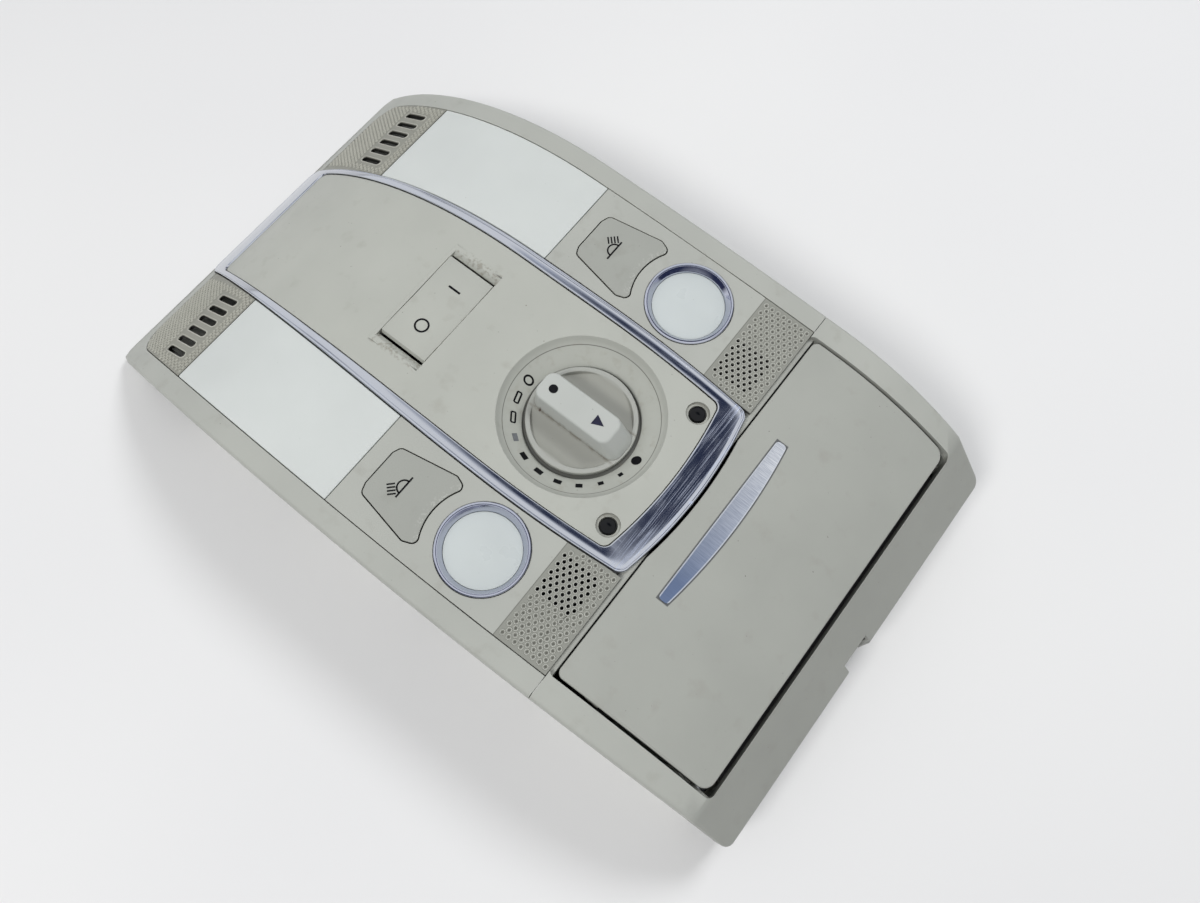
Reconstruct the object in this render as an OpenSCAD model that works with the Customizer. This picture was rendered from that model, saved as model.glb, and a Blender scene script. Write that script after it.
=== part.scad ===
// Car overhead console: dome and reading lights, roof switches and a drop-down glasses box.
// It lies on its back: +Z is the visible face, -X the end with the vent slots,
// +X the hinge end of the glasses box. The part is mirrored about the plane y = 0.

/* [Face] */
// Height of the level middle of the face above the table
face_z = 67.2; // [60:0.1:75]
// Place where the face starts to curve down towards the vent end
front_x = -37; // [-45:1:-30]
// Radius of the face towards the vent end
front_r = 190; // [180:1:210]
// Place where the face starts to curve down towards the hinge end
rear_x = 93; // [88:1:96]
// Radius of the face towards the hinge end
rear_r = 150; // [140:1:170]
// Place where the steep rear band starts
band_x = 158; // [157.6:0.1:159]
// Vent end of the outline
front_end = -179; // [-180:0.5:-178]
// Hinge end of the outline
rear_end = 179; // [177:0.5:181]
// Slope of the steep rear band, degrees
band_slope = 47; // [44:1:50]
// Half width at the middle
half_w = 102.1; // [101:0.1:104]
// Radius of the gently bowed long sides
side_r = 3000; // [2800:50:4000]
// Radius of the outer corners at the vent end
front_corner_r = 9; // [6:0.5:12]
// Radius of the outer corners at the hinge end
rear_corner_r = 4; // [3:0.5:6]

/* [Shells] */
// Thickness of every visible skin
skin = 2.5; // [2.2:0.1:2.8]
// Thickness of the carrier grid under the panels
grid_t = 2.5; // [2:0.1:3]
// Depth of the outer skirt, square to the face
skirt_d = 13; // [11:0.5:15]
// Thickness of the outer skirt
skirt_t = 2.4; // [2:0.1:3]
// Width of the bezel beside the panels
bezel_w = 10.3; // [9:0.1:11]
// Seam between two pieces of the face
seam = 0.3; // [0.2:0.05:0.4]
// Seam between the light frame and the box frame
frame_seam_x = 82.6; // [82:0.1:83]
// Wall of the two back housings
wall = 2.2; // [2:0.1:2.6]
// Width of the ledge that the panels rest on
ledge = 3.5; // [3:0.1:4]

/* [Panels] */
// Front edge of the vent panels
vent_front_x = -170; // [-171:0.5:-168]
// Edge between the vent panel and the dome lens
lens_front_x = -125.3; // [-127:0.1:-124]
// Edge between the dome lens and the switch panel
lens_rear_x = -29.3; // [-31:0.1:-28]
// Start of the microphone grille
grille_x = 57.2; // [56:0.1:58]
// Number of vent slots a side
slot_count = 6; // [4:1:6]
// Pitch of the vent slots
slot_pitch = 6.46; // [6:0.02:6.6]
// Width of a vent slot
slot_w = 3; // [2.4:0.1:3.4]
// Length of a vent slot, seen from above
slot_l = 14; // [10:0.5:16]
// Half width of the first vent slot's place from the middle
slot_y0 = 48.4; // [48:0.1:50]
// Middle of the vent slots along the console
slot_x = -140; // [-142:0.5:-139]
// Diameter of a grille hole
hole_d = 1.3; // [1.1:0.1:1.5]
// Step between grille rows along the console
hole_step_x = 1.5; // [1.4:0.05:1.6]
// Step between grille rows across the console
hole_step_y = 2.1; // [2:0.05:2.2]
// Number of open grille rows along the console
hole_rows = 12; // [8:1:12]
// Number of open grille rows across the console
hole_columns = 9; // [5:2:9]

/* [Chrome frame] */
// Half width of the chrome frame at its widest
chrome_half = 46.9; // [46:0.1:48]
// Place of its widest point
chrome_wide_x = 13; // [10:1:16]
// Width of its long bars
chrome_bar = 5.6; // [5:0.1:6]
// Height that the chrome stands above the face
chrome_proud = 0.8; // [0.4:0.1:1]
// Vent end of the chrome frame
chrome_front_x = -177; // [-177.4:0.1:-176]
// Width of its front bar
chrome_front_w = 12; // [10:0.5:13]
// Rear end of the chrome frame
chrome_rear_x = 86.8; // [86:0.1:87.2]
// Width of its rear bar
chrome_rear_w = 12.5; // [11.5:0.1:13]
// Radius of its bowed rear end
chrome_rear_r = 185; // [160:5:220]

/* [Knob] */
// Place of the knob along the console
knob_x = 28.3; // [27:0.1:29]
// Radius of the dish at the face
dish_r = 35.6; // [35:0.1:36]
// Radius of the dish floor
dish_floor_r = 24.9; // [24.7:0.1:26]
// Depth of the dish
dish_d = 10; // [9:0.5:11]
// Radius of the knob's disc
disc_r = 23.7; // [22:0.1:24.5]
// Thickness of the knob's disc
disc_t = 3; // [2.5:0.1:3.5]
// Width of the knob's grip
grip_w = 13.5; // [12:0.5:15]
// Height of the grip above the face
grip_up = 5; // [3:0.5:7]
// Travel when the knob is pressed
press = 1.2; // [0.8:0.1:1.5]
// Radius of the knob's shaft
shaft_r = 3; // [2.5:0.1:3.5]

/* [Rocker] */
// Place of the rocker along the console
rocker_x = -49.8; // [-51:0.1:-49]
// Width of the rocker
rocker_w = 24; // [22:0.5:25]
// Length of the rocker
rocker_l = 46; // [42:0.5:47]
// Half length of the recess round the rocker
recess_half = 28.5; // [27:0.1:30]
// Depth of the rocker's pivot below the face
rocker_pivot_d = 10; // [9.7:0.1:10.5]
// Height of the rocker's cap
rocker_h = 13; // [12.5:0.5:14]

/* [Reading lights] */
// Place of the reading lights along the console
read_x = 32.7; // [32:0.1:33.5]
// Distance of a reading light from the middle
read_y = 68.4; // [68:0.1:69]
// Outer radius of the chrome ring
ring_r = 19.25; // [18.5:0.05:19.6]
// Radius of the lens in the ring
lens_r = 15.8; // [15:0.1:16.2]
// Radius of the concave end of the button round the ring
button_arc_r = 25.7; // [25:0.1:26.5]
// Travel of a reading light button
button_travel = 1.2; // [0.8:0.1:1.5]
// Height of a reading light button's skirt
button_h = 7; // [6:0.5:8]
// Clearance round a moving button
button_gap = 0.45; // [0.3:0.05:0.5]

/* [Glasses box] */
// Front edge of the lid
lid_front_x = 85.2; // [85:0.1:85.6]
// Rear edge of the lid
lid_rear_x = 157; // [156.5:0.1:157.4]
// Width of the frame beside the lid
lid_side = 14.2; // [13.9:0.1:16]
// Gap at the sides of the lid
lid_gap = 1.4; // [1:0.1:1.6]
// Gap at the rear of the lid
lid_rear_gap = 2.7; // [2.4:0.1:3]
// Place of the lid's pivot along the console
pivot_x = 153; // [152.6:0.1:153.2]
// Height of the lid's pivot
pivot_z = 48.3; // [48:0.1:48.6]
// Radius of the hinge pins
pin_r = 1.5; // [1.3:0.1:1.8]
// Radius of the tray's front wall about the pivot
tray_r = 64.5; // [60:0.5:65]
// Room between the lid's edge and the tray's side, for lugs, damper and latch
tray_room = 8.3; // [7.9:0.1:14]
// Wall of the tray
tray_wall = 1.8; // [1.5:0.1:2.2]
// Height of the tray's rim above the table
tray_low_z = 9; // [7:0.5:12]
// Rear wall of the tray
tray_rear_x = 145.5; // [140:0.5:146]
// Thickness of the tray's liner
liner_t = 1; // [0.8:0.1:1.5]
// Running clearance of shafts and pins, radius
run = 0.05; // [0.03:0.01:0.08]

/* [Damper] */
// Module of the damper's teeth
gear_m = 1; // [1:0.1:1]
// Teeth of a full wheel with the sector's radius
sector_teeth = 48; // [48:1:48]
// Teeth of the damper's pinion
pinion_teeth = 10; // [10:1:10]
// Direction from the pivot to the pinion, degrees
mesh_angle = 200; // [198:1:202]
// Width of the teeth
gear_w = 3.2; // [3:0.1:3.4]
// Play between the teeth
backlash = 0.3; // [0.25:0.05:0.35]

/* [Housings] */
// Vent end of the light housing
housing_front_x = -128; // [-130:1:-126]
// Room between the frame's side and the light housing
housing_room = 12.5; // [12.3:0.1:13.1]
// Room between the frame's side and the box housing
box_room = 9.8; // [9.5:0.1:10.1]
// Rear end of the box housing
box_rear_x = 164; // [163.6:0.1:164.4]
// Height of the circuit board's top
board_z = 44; // [42:0.5:45]
// Thickness of the circuit board
board_t = 1.6; // [1.2:0.2:2]
// Radius of the two holes that fix the console to the roof
mount_hole_r = 2.6; // [2.2:0.1:3]
// Distance between those holes
mount_span = 120; // [110:1:125]
// Place of those holes along the console
mount_x = 118; // [116:1:120]

/* [Hidden] */
$fn = 64;

// Lowest and highest heights that any cutting tool needs
low_z = -40;
high_z = 120;
// Steps along the bowed sides
side_step = 8;
lid_half = half_w - lid_side;
tray_half = lid_half - tray_room;
housing_half = half_w - housing_room;
box_half = half_w - box_room;
// Angle that the front arc is drawn over, so that offset layers still reach the end
front_sweep = 62;
// Angle of the face where the rear band starts
rear_sweep = asin((band_x - rear_x) / rear_r);
// Direction down the rear band, its outward normal and the mitred corner direction
band_dir = [cos(band_slope), -sin(band_slope)];
band_normal = [sin(band_slope), cos(band_slope)];
arc_normal = [sin(rear_sweep), cos(rear_sweep)];
band_mitre = (band_normal + arc_normal) / (1 + band_normal * arc_normal);
band_start = [band_x, face_z - rear_r + rear_r * cos(rear_sweep)];
band_length = 60;
// Angle left free for the mitre between the rear arc and the rear band
mitre_room = 3;
// Height of the grid's underside and of the panels' underside in the level middle
panel_z = face_z - skin;
grid_z = panel_z - grid_t;
// The colours that the photograph shows
plastic = [0.69, 0.70, 0.67];
textured = [0.66, 0.66, 0.62];
milk = [0.86, 0.90, 0.88];
chrome = [0.62, 0.65, 0.72];
dark = [0.10, 0.10, 0.11];
white = [0.93, 0.93, 0.92];
steel = [0.70, 0.71, 0.72];
board_green = [0.10, 0.32, 0.18];
clear = [0.85, 0.90, 0.95];

function back(list) = [for (i = [len(list) - 1:-1:0]) list[i]];
function arc_points(cx, cz, r, a0, a1, n) =
  [for (i = [0:n]) let (a = a0 + (a1 - a0) * i / n) [cx + r * cos(a), cz + r * sin(a)]];
// The face, moved inwards by d square to itself, from the vent end to the foot of the rear band
function face_curve(d) = concat(
  arc_points(front_x, face_z - front_r, front_r - d, 90 + front_sweep, 90, 25),
  arc_points(rear_x, face_z - rear_r, rear_r - d, 90, 90 - rear_sweep + mitre_room, 10),
  [band_start - d * band_mitre, band_start - d * band_mitre + band_length * band_dir]
);
// Height of the face at a place along the console
function face_at(x) =
  x < front_x ? face_z - front_r + sqrt(front_r * front_r - (x - front_x) * (x - front_x))
  : x < rear_x ? face_z
  : x < band_x ? face_z - rear_r + sqrt(rear_r * rear_r - (x - rear_x) * (x - rear_x))
  : band_start[1] - (x - band_x) * tan(band_slope);
function side_y(x) = half_w - x * x / (2 * side_r);
function seam_y(x) = side_y(x) - bezel_w;
// The chrome narrows slowly to the vent end and faster to the hinge end
chrome_front_bow = 1750;
chrome_rear_bow = 600;
function chrome_y(x) =
  chrome_half - (x - chrome_wide_x) * (x - chrome_wide_x)
  / (2 * (x < chrome_wide_x ? chrome_front_bow : chrome_rear_bow));
chrome_taper = 0.018;
function chrome_in_y(x) = chrome_y(x) - chrome_bar + chrome_taper * max(0, -20 - x);
function steps(x0, x1) =
  let (n = ceil(abs(x1 - x0) / side_step)) [for (i = [0:n]) x0 + (x1 - x0) * i / n];

// Everything below the face moved inwards by d
module below(d) {
  curve = face_curve(d);
  rotate([90, 0, 0])
    linear_extrude(height = 2 * half_w + 40, center = true)
      polygon(concat(curve, [[curve[len(curve) - 1][0], low_z], [curve[0][0], low_z]]));
}
// A layer of the face from depth d0 to depth d1
module layer(d0, d1) {
  rotate([90, 0, 0])
    linear_extrude(height = 2 * half_w + 40, center = true)
      polygon(concat(face_curve(d0), back(face_curve(d1))));
}
// The children, a flat outline, cut out of the layer from depth d0 to depth d1
module skin_of(d0, d1) {
  intersection() {
    layer(d0, d1);
    translate([0, 0, low_z])
      linear_extrude(height = high_z - low_z)
        children();
  }
}
// A flat shape between two curves along the console, on the +Y side
module strip(x0, x1, inner, outer) {
  xs = steps(x0, x1);
  polygon(concat([for (x = xs) [x, inner(x)]], back([for (x = xs) [x, outer(x)]])));
}
// The same shape on both sides of the middle, joined through it
module full_strip(x0, x1, outer) {
  xs = steps(x0, x1);
  polygon(concat([for (x = xs) [x, -outer(x)]], back([for (x = xs) [x, outer(x)]])));
}
module rounded(r) {
  offset(r = r, $fn = 48)
    offset(delta = -r)
      children();
}
module side(s) {
  if (s > 0) children();
  else mirror([0, 1, 0]) children();
}
module both_sides() {
  children();
  mirror([0, 1, 0]) children();
}
module bore(x, y, r, z0 = low_z, z1 = high_z) {
  translate([x, y, z0]) cylinder(r = r, h = z1 - z0);
}

// The upper half of an outline joined to its mirror image
function mirrored(list) = concat(list, back([for (p = list) [p[0], -p[1]]]));
// Outline of the whole console, drawn in by an inset
function outline_points(inset) = mirrored(concat(
  arc_points(
    front_end + front_corner_r, side_y(front_end + front_corner_r) - front_corner_r,
    front_corner_r - inset, 180, 91, 8
  ),
  [for (x = steps(front_end + front_corner_r + 1, rear_end - rear_corner_r - 1)) [x, side_y(x) - inset]],
  arc_points(
    rear_end - rear_corner_r, side_y(rear_end - rear_corner_r) - rear_corner_r,
    rear_corner_r - inset, 89, 0, 6
  )
));
module outline(inset = 0) {
  polygon(outline_points(inset));
}
// A four-sided outline from x0 to x1, half as wide as y0 and y1 there, with rounded corners
function tapered_points(x0, y0, r0, x1, y1, r1) = mirrored(concat(
  arc_points(x0 + r0, y0 - r0, r0, 180, 91, 8), arc_points(x1 - r1, y1 - r1, r1, 89, 0, 8)
));

// Outlines of the openings and panels, all from the same curves
module chrome_outline(grow = 0) {
  offset(delta = grow)
    rounded(5)
      intersection() {
        full_strip(chrome_front_x, chrome_rear_x, function (x) chrome_y(x));
        translate([chrome_rear_x - chrome_rear_r, 0]) circle(r = chrome_rear_r, $fn = 180);
      }
}
module chrome_window(grow = 0) {
  offset(delta = grow)
    rounded(4)
      intersection() {
        full_strip(
          chrome_front_x + chrome_front_w, chrome_rear_x - chrome_rear_w,
          function (x) chrome_in_y(x)
        );
        translate([chrome_rear_x - chrome_rear_w - chrome_rear_r, 0])
          circle(r = chrome_rear_r, $fn = 180);
      }
}
// Outer edge of the panels, with the rounded corner at the vent end
panel_corner_r = 12;
module panel_field(grow = 0) {
  corner_x = vent_front_x + panel_corner_r;
  polygon(mirrored(concat(
    arc_points(corner_x, seam_y(corner_x) - panel_corner_r, panel_corner_r + grow, 180, 91, 8),
    [for (x = steps(corner_x + 1, frame_seam_x + 20)) [x, seam_y(x) + grow]]
  )));
}
module vent_slots() {
  for (i = [0:slot_count - 1])
    translate([slot_x, slot_y0 + slot_pitch * i])
      rotate(slot_slant)
        hull() {
          translate([-slot_l / 2 + slot_w / 2, 0]) circle(d = slot_w, $fn = 24);
          translate([slot_l / 2 - slot_w / 2, 0]) circle(d = slot_w, $fn = 24);
        }
}
slot_slant = -2;
// Outline of a reading light button: rounded front, spread shoulders and a concave end
button_front_x = -21;
button_shoulder_x = 5.7;
button_tip_x = 10.4;
module button_shape(grow = 0) {
  offset(delta = grow)
    rounded(2.4)
      difference() {
        polygon([
          [button_front_x, read_y - 8], [button_front_x + 1.4, read_y - 11.5],
          [button_shoulder_x, read_y - 16.4], [button_tip_x + 2, read_y - 14],
          [button_tip_x + 4, read_y], [button_tip_x + 2, read_y + 14],
          [button_shoulder_x, read_y + 16.8], [button_front_x + 1.4, read_y + 12.2],
          [button_front_x, read_y + 8]
        ]);
        translate([read_x, read_y]) circle(r = button_arc_r, $fn = 96);
      }
}
// Outline of the lid, cut out round the bowed end of the chrome
chrome_clear = 1;
lid_rear_half = lid_half - 1.6;
lid_front_corner = 3;
lid_rear_corner = 5;
opening_corner = 3;
module lid_outline() {
  difference() {
    polygon(tapered_points(
      lid_front_x, lid_half, lid_front_corner, lid_rear_x, lid_rear_half, lid_rear_corner
    ));
    chrome_outline(chrome_clear);
  }
}
// The opening in the box frame: wider at the sides, widest behind the lid
module lid_opening(grow = 0) {
  polygon(tapered_points(
    frame_seam_x - 0.4 - grow, lid_half + lid_gap + grow, lid_front_corner + grow,
    lid_rear_x + lid_rear_gap + grow, lid_rear_half + lid_gap + grow,
    opening_corner + grow
  ));
}

// Place of each window in the carrier grid
module grid_windows() {
  offset(delta = -ledge)
    strip(
      lens_front_x, lens_rear_x, function (x) chrome_y(x), function (x) seam_y(x)
    );
  offset(delta = -ledge)
    strip(vent_front_x, lens_front_x, function (x) chrome_y(x), function (x) seam_y(x) - 4);
  button_shape(button_gap + 1.5);
  translate([read_x, read_y]) circle(r = ring_r - 0.8);
  translate([grille_x + 1.5, chrome_half + 1.2]) square([20, 28]);
}
rotor_window_r = dish_r - 1;
// Height of the lowest edge of the skirt above the table
skirt_low_z = 0.4;
module above_table() {
  intersection() {
    children();
    translate([-300, -200, skirt_low_z]) cube([600, 400, high_z]);
  }
}
module light_frame() {
  color(plastic)
    difference() {
      union() {
        above_table()
          skin_of(0, skin)
            difference() {
              light_field();
              panel_field(seam);
            }
        above_table()
          skin_of(0, skirt_d)
            difference() {
              light_field();
              outline(skirt_t);
            }
        above_table() skin_of(skin, skin + grid_t)
          difference() {
            intersection() {
              light_field();
              translate([-300, -200]) square([300 + frame_seam_x - 2.8, 400]);
              outline(skirt_t / 2);
            }
            both_sides() grid_windows();
            translate([knob_x, 0]) circle(r = rotor_window_r);
            translate([rocker_x, 0]) square([rocker_w + 10, 2 * recess_half + 4], center = true);
            translate([-158, -24]) square([74, 48]);
            both_sides() translate([sensor_x, sensor_y]) circle(r = 5.6);
          }
        screw_bosses(housing_screw_at, boss_r, skin + 0.1);
      }
      skin_of(-1, skin) chrome_outline(seam / 2);
      for (p = housing_screw_at) bore(p[0], p[1], screw_core_r, low_z, face_at(p[0]) - skin - 0.6);
    }
}
// The part of the outline that belongs to the light frame
module light_field() {
  intersection() {
    outline();
    translate([-300, -200]) square([300 + frame_seam_x - seam / 2, 400]);
  }
}
module box_field() {
  intersection() {
    outline();
    translate([frame_seam_x + seam / 2, -200]) square([300, 400]);
  }
}

// Screws that hold the light housing to the frame, in bosses beside the housing
screw_r = 1.5;
screw_core_r = 1.2;
screw_head_r = 3;
screw_head_t = 2;
boss_r = 3.4;
housing_screw_at = [
  for (x = [-105, -20, 62]) for (s = [-1, 1]) [x, s * (housing_half + boss_r + 0.6)]
];
boss_low = 9;
module screw_bosses(places, r, top_d) {
  for (p = places)
    intersection() {
      below(top_d);
      bore(p[0], p[1], r, face_at(p[0]) - skirt_d - boss_low, high_z);
    }
}
// Ears on a housing whose wall is at half, under the frame's bosses
ear_t = 2.5;
module housing_ears(places, r, half) {
  for (p = places)
    translate([p[0], 0, face_at(p[0]) - skirt_d - boss_low - ear_t])
      linear_extrude(height = ear_t)
        difference() {
          union() {
            translate([0, p[1]]) circle(r = r);
            translate([-r, min(p[1], sign(p[1]) * (half - 0.5))])
              square([2 * r, abs(abs(p[1]) - half + 0.5)]);
          }
          translate([0, p[1]]) circle(r = screw_r + 0.2);
        }
}
// Screws that hold the box housing to the box frame
box_boss_r = 2.6;
box_screw_x = [90, 108];
box_screw_at = [
  for (x = box_screw_x) for (s = [-1, 1]) [x, s * (box_half + box_boss_r + 0.1)]
];

notch_depth = 4;
module box_frame() {
  rim_d = 8;
  rim_t = 0.7;
  bar_reach = 2.4;
  bar_w = 4.2;
  color(plastic)
    difference() {
      union() {
        skin_of(0, skin)
          difference() {
            box_field();
            lid_opening();
          }
        skin_of(0, skirt_d)
          difference() {
            box_field();
            outline(skirt_t);
          }
        skin_of(skin - 0.1, rim_d)
          intersection() {
            difference() {
              lid_opening(rim_t);
              lid_opening();
            }
            translate([frame_seam_x + 1, -200]) square([200, 400]);
          }
        skin_of(skin + 0.1, rim_d)
          translate([frame_seam_x - bar_reach, -box_half]) square([bar_w, 2 * box_half]);
        screw_bosses(box_screw_at, box_boss_r, skin - 0.1);
        for (s = [-1, 1]) hinge_ear(s);
      }
      translate([rear_end - notch_depth, -9.6, low_z])
        cube([notch_depth + 1, 16.1, high_z - low_z]);
      pivot_bore(pin_r);
      for (p = box_screw_at) bore(p[0], p[1], screw_core_r, low_z, face_at(p[0]) - skin - 0.5);
    }
}
// Ears under the frame that carry the hinge pins, outside the lid's lugs
lug_r = 3.1;
lug_w = 4;
lug_y = tray_half + 2.6;
ear_y = lug_y + lug_w + 0.4;
module hinge_ear(s) {
  intersection() {
    below(skin - 0.1);
    translate([0, s * (ear_y + 1.5), 0])
      rotate([90, 0, 0])
        linear_extrude(height = 3, center = true)
          hull() {
            translate([pivot_x, pivot_z]) circle(r = lug_r, $fn = 32);
            translate([box_rear_x - wall - 3, face_at(box_rear_x) - skin - 5]) square([3.5, 6]);
          }
  }
}
module pivot_bore(r) {
  translate([pivot_x, 0, pivot_z])
    rotate([90, 0, 0])
      cylinder(r = r, h = 2 * (ear_y + 3.4), center = true);
}

module chrome_frame() {
  color(chrome)
    skin_of(-chrome_proud, skin)
      difference() {
        chrome_outline(-seam / 2);
        chrome_window();
      }
}

sensor_x = 65.4;
sensor_y = 30.2;
sensor_r = 3.7;
// Depth of the recess round the rocker, the floor left under it and the gap at the rocker's ends
recess_d = 5.5;
well_t = 2;
rocker_end_gap = 0.9;
scoop_d = 4.6;
module centre_panel() {
  color(plastic)
    difference() {
      union() {
        skin_of(0, skin) chrome_window(-seam);
        // Bowl of the knob's dish
        translate([knob_x, 0, 0])
          rotate_extrude($fn = 96)
            polygon([
              [shaft_r + 5.2, face_z - dish_d - skin], [dish_floor_r, face_z - dish_d - skin],
              [dish_r - 2.6, face_z - dish_d * 0.45 - skin], [dish_r - 1.2, face_z - skin],
              [dish_r - 1.2, face_z - 0.5], [shaft_r + 5.2, face_z - 0.5]
            ]);
        // Well round the rocker
        translate([rocker_x, 0, face_z - recess_d - well_t])
          linear_extrude(height = recess_d + 1)
            square([rocker_w + 2 * (0.4 + 1.6), 2 * recess_half], center = true);
        both_sides() bore(sensor_x, sensor_y, 5.4, face_z - 6, face_z - 1);
      }
      translate([knob_x, 0, 0])
        rotate_extrude($fn = 96)
          polygon([
            [0, face_z - dish_d], [dish_floor_r, face_z - dish_d],
            [dish_floor_r + 0.3, face_z - dish_d * 0.9], [dish_r - 2.6, face_z - dish_d * 0.36],
            [dish_r - 1, face_z - dish_d * 0.16], [dish_r, face_z + 0.01], [dish_r, face_z + 5],
            [0, face_z + 5]
          ]);
      bore(knob_x, 0, shaft_r + 5.6);
      translate([rocker_x, 0, 0])
        linear_extrude(height = high_z)
          square([rocker_w + 0.8, rocker_l + 2 * rocker_end_gap], center = true);
      both_sides() rocker_scoop();
      both_sides() {
        bore(sensor_x, sensor_y, 5, face_z - 1.6, high_z);
        bore(sensor_x, sensor_y, sensor_r + 0.1, low_z, high_z);
      }
    }
}
// Scooped end of the rocker's recess, for a finger tip
module rocker_scoop() {
  y0 = rocker_l / 2 - 0.4;
  y1 = recess_half - 0.4;
  translate([rocker_x, 0, face_z])
    rotate([90, 0, 90])
      linear_extrude(height = rocker_w + 0.8, center = true)
        polygon(concat(
          [[y0, 1]],
          [for (i = [0:8]) [y0 + (y1 - y0) * i / 8, -scoop_d * pow(1 - i / 8, 1.6)]],
          [[y1, 1]]
        ));
}

module vent_panel() {
  color(textured)
    skin_of(0, skin)
      difference() {
        intersection() {
          strip(vent_front_x, lens_front_x - seam, function (x) chrome_y(x) + seam, function (x) half_w);
          panel_field();
        }
        vent_slots();
      }
}

module dome_lens() {
  color(milk)
    skin_of(0, skin)
      intersection() {
        strip(lens_front_x, lens_rear_x, function (x) chrome_y(x) + seam, function (x) half_w);
        panel_field();
      }
}

// Open holes of the grille: every second place of a fine grid, so that the rows are staggered
grille_edge = 2.3;
grille_side = 3.5;
module grille_holes() {
  for (i = [0:hole_rows - 1])
    for (j = [i % 2:2:hole_columns - 1])
      translate([
        grille_x + grille_edge + hole_step_x * i,
        chrome_half + grille_side + hole_step_y * j
      ])
        circle(d = hole_d, $fn = 16);
}
module switch_panel() {
  color(plastic)
    difference() {
      union() {
        skin_of(0, skin)
          intersection() {
            strip(
              lens_rear_x + seam, frame_seam_x - 0.2,
              function (x) chrome_y(min(x, 78)) + seam, function (x) half_w
            );
            panel_field();
          }
        // Guide wall round the button
        translate([0, 0, panel_z - 4])
          linear_extrude(height = 4.2)
            difference() {
              button_shape(button_gap + 1.2);
              button_shape(button_gap);
            }
      }
      translate([0, 0, low_z])
        linear_extrude(height = high_z - low_z) {
          button_shape(button_gap);
          grille_holes();
        }
      bore(read_x, read_y, ring_r - 0.8);
      bore(read_x, read_y, ring_r + 0.15, face_z - 1.4, high_z);
    }
}

module reading_ring() {
  color(chrome)
    translate([read_x, read_y, face_z])
      rotate_extrude($fn = 96)
        polygon([
          [lens_r - 0.4, -6], [ring_r - 1, -6], [ring_r - 1, -1.4], [ring_r, -1.4], [ring_r, 0.2],
          [ring_r - 0.5, 0.9], [ring_r - 1.2, 0.9], [lens_r + 0.15, -1.8], [lens_r + 0.15, -4.4],
          [lens_r - 0.4, -4.4]
        ]);
}

module reading_lens() {
  color(milk)
    translate([read_x, read_y, face_z])
      rotate_extrude($fn = 96)
        polygon(concat(
          [[0, -3.4], [lens_r - 1, -3.4], [lens_r - 1, -4.4], [lens_r, -4.4], [lens_r, -2.2]],
          [for (i = [1:10]) let (r = lens_r * (1 - i / 10)) [r, -2.2 + 2.2 * (1 - pow(r / lens_r, 2))]]
        ));
}

// Cone behind a reading lens, standing on the board, with its bulb in the middle
cone_top_z = 61.2;
module reading_reflector() {
  color(white)
    translate([read_x, read_y, 0])
      difference() {
        rotate_extrude($fn = 96)
          polygon([
            [7, board_z], [8.4, board_z], [lens_r + 1.4, cone_top_z - 3], [lens_r + 1.4, cone_top_z],
            [lens_r + 0.2, cone_top_z], [lens_r + 0.2, cone_top_z - 2.4], [7, board_z + 1.2]
          ]);
      }
}
module reading_bulb() {
  color(clear)
    translate([read_x, read_y, board_z])
      rotate_extrude($fn = 48)
        polygon([
          [0, 0], [5, 0], [5, 3], [2.5, 3.4], [2.5, 9], [2.1, 10.5], [1.2, 11.6], [0, 12]
        ]);
}

// Trough behind a dome lens, following the bend of the face
trough_d = 17;
trough_wall = 1.2;
flange = 3;
module dome_reflector() {
  x0 = lens_front_x + ledge + 0.4;
  x1 = lens_rear_x - ledge - 0.4;
  y0 = chrome_half + ledge + 0.4;
  y1 = housing_half - wall - 0.4;
  color(white)
    difference() {
      union() {
        skin_of(skin + grid_t, trough_d) translate([x0, y0]) square([x1 - x0, y1 - y0]);
        // Flange that hangs from the carrier grid
        skin_of(skin + grid_t, skin + grid_t + trough_wall)
          translate([x0 - flange, y0 - 2 * flange])
            square([x1 - x0 + 2 * flange, y1 - y0 + 2 * flange]);
      }
      skin_of(skin, trough_d - trough_wall)
        translate([x0 + trough_wall, y0 + trough_wall])
          square([x1 - x0 - 2 * trough_wall, y1 - y0 - 2 * trough_wall]);
    }
}
// Festoon bulb lying across the trough
bulb_x = -78;
bulb_y = 68;
bulb_r = 5;
bulb_l = 22;
function bulb_z() = face_at(bulb_x) - 10.4;
module dome_bulb() {
  color(clear)
    translate([bulb_x, bulb_y, bulb_z()])
      rotate([90, 0, 0])
        rotate_extrude($fn = 48)
          polygon([
            [0, -bulb_l / 2], [1.5, -bulb_l / 2], [3, -bulb_l / 2 + 1.5], [3, -bulb_l / 2 + 4],
            [bulb_r, -bulb_l / 2 + 6], [bulb_r, bulb_l / 2 - 6], [3, bulb_l / 2 - 4],
            [3, bulb_l / 2 - 1.5], [1.5, bulb_l / 2], [0, bulb_l / 2]
          ]);
}
// Spring contacts that hold each bulb by its two ends
module bulb_contacts() {
  color(steel)
    both_sides()
      for (s = [-1, 1])
        translate([bulb_x, bulb_y + s * (bulb_l / 2 + 0.4), bulb_z()])
          contact_leaf();
}
module contact_leaf() {
  leg = face_at(bulb_x) - trough_d + trough_wall - bulb_z();
  translate([-3, -0.3, leg + 0.6]) cube([6, 0.6, 2.2 - leg - 0.6]);
}

module sensor() {
  color(dark)
    translate([sensor_x, sensor_y, face_z])
      rotate_extrude($fn = 48)
        polygon(concat(
          [[0, -9], [sensor_r, -9], [sensor_r, -1.6]],
          [for (i = [1:8]) let (r = sensor_r * (1 - i / 8)) [r, -1.6 + 1.9 * sqrt(1 - pow(r / sensor_r, 2))]]
        ));
}

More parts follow.
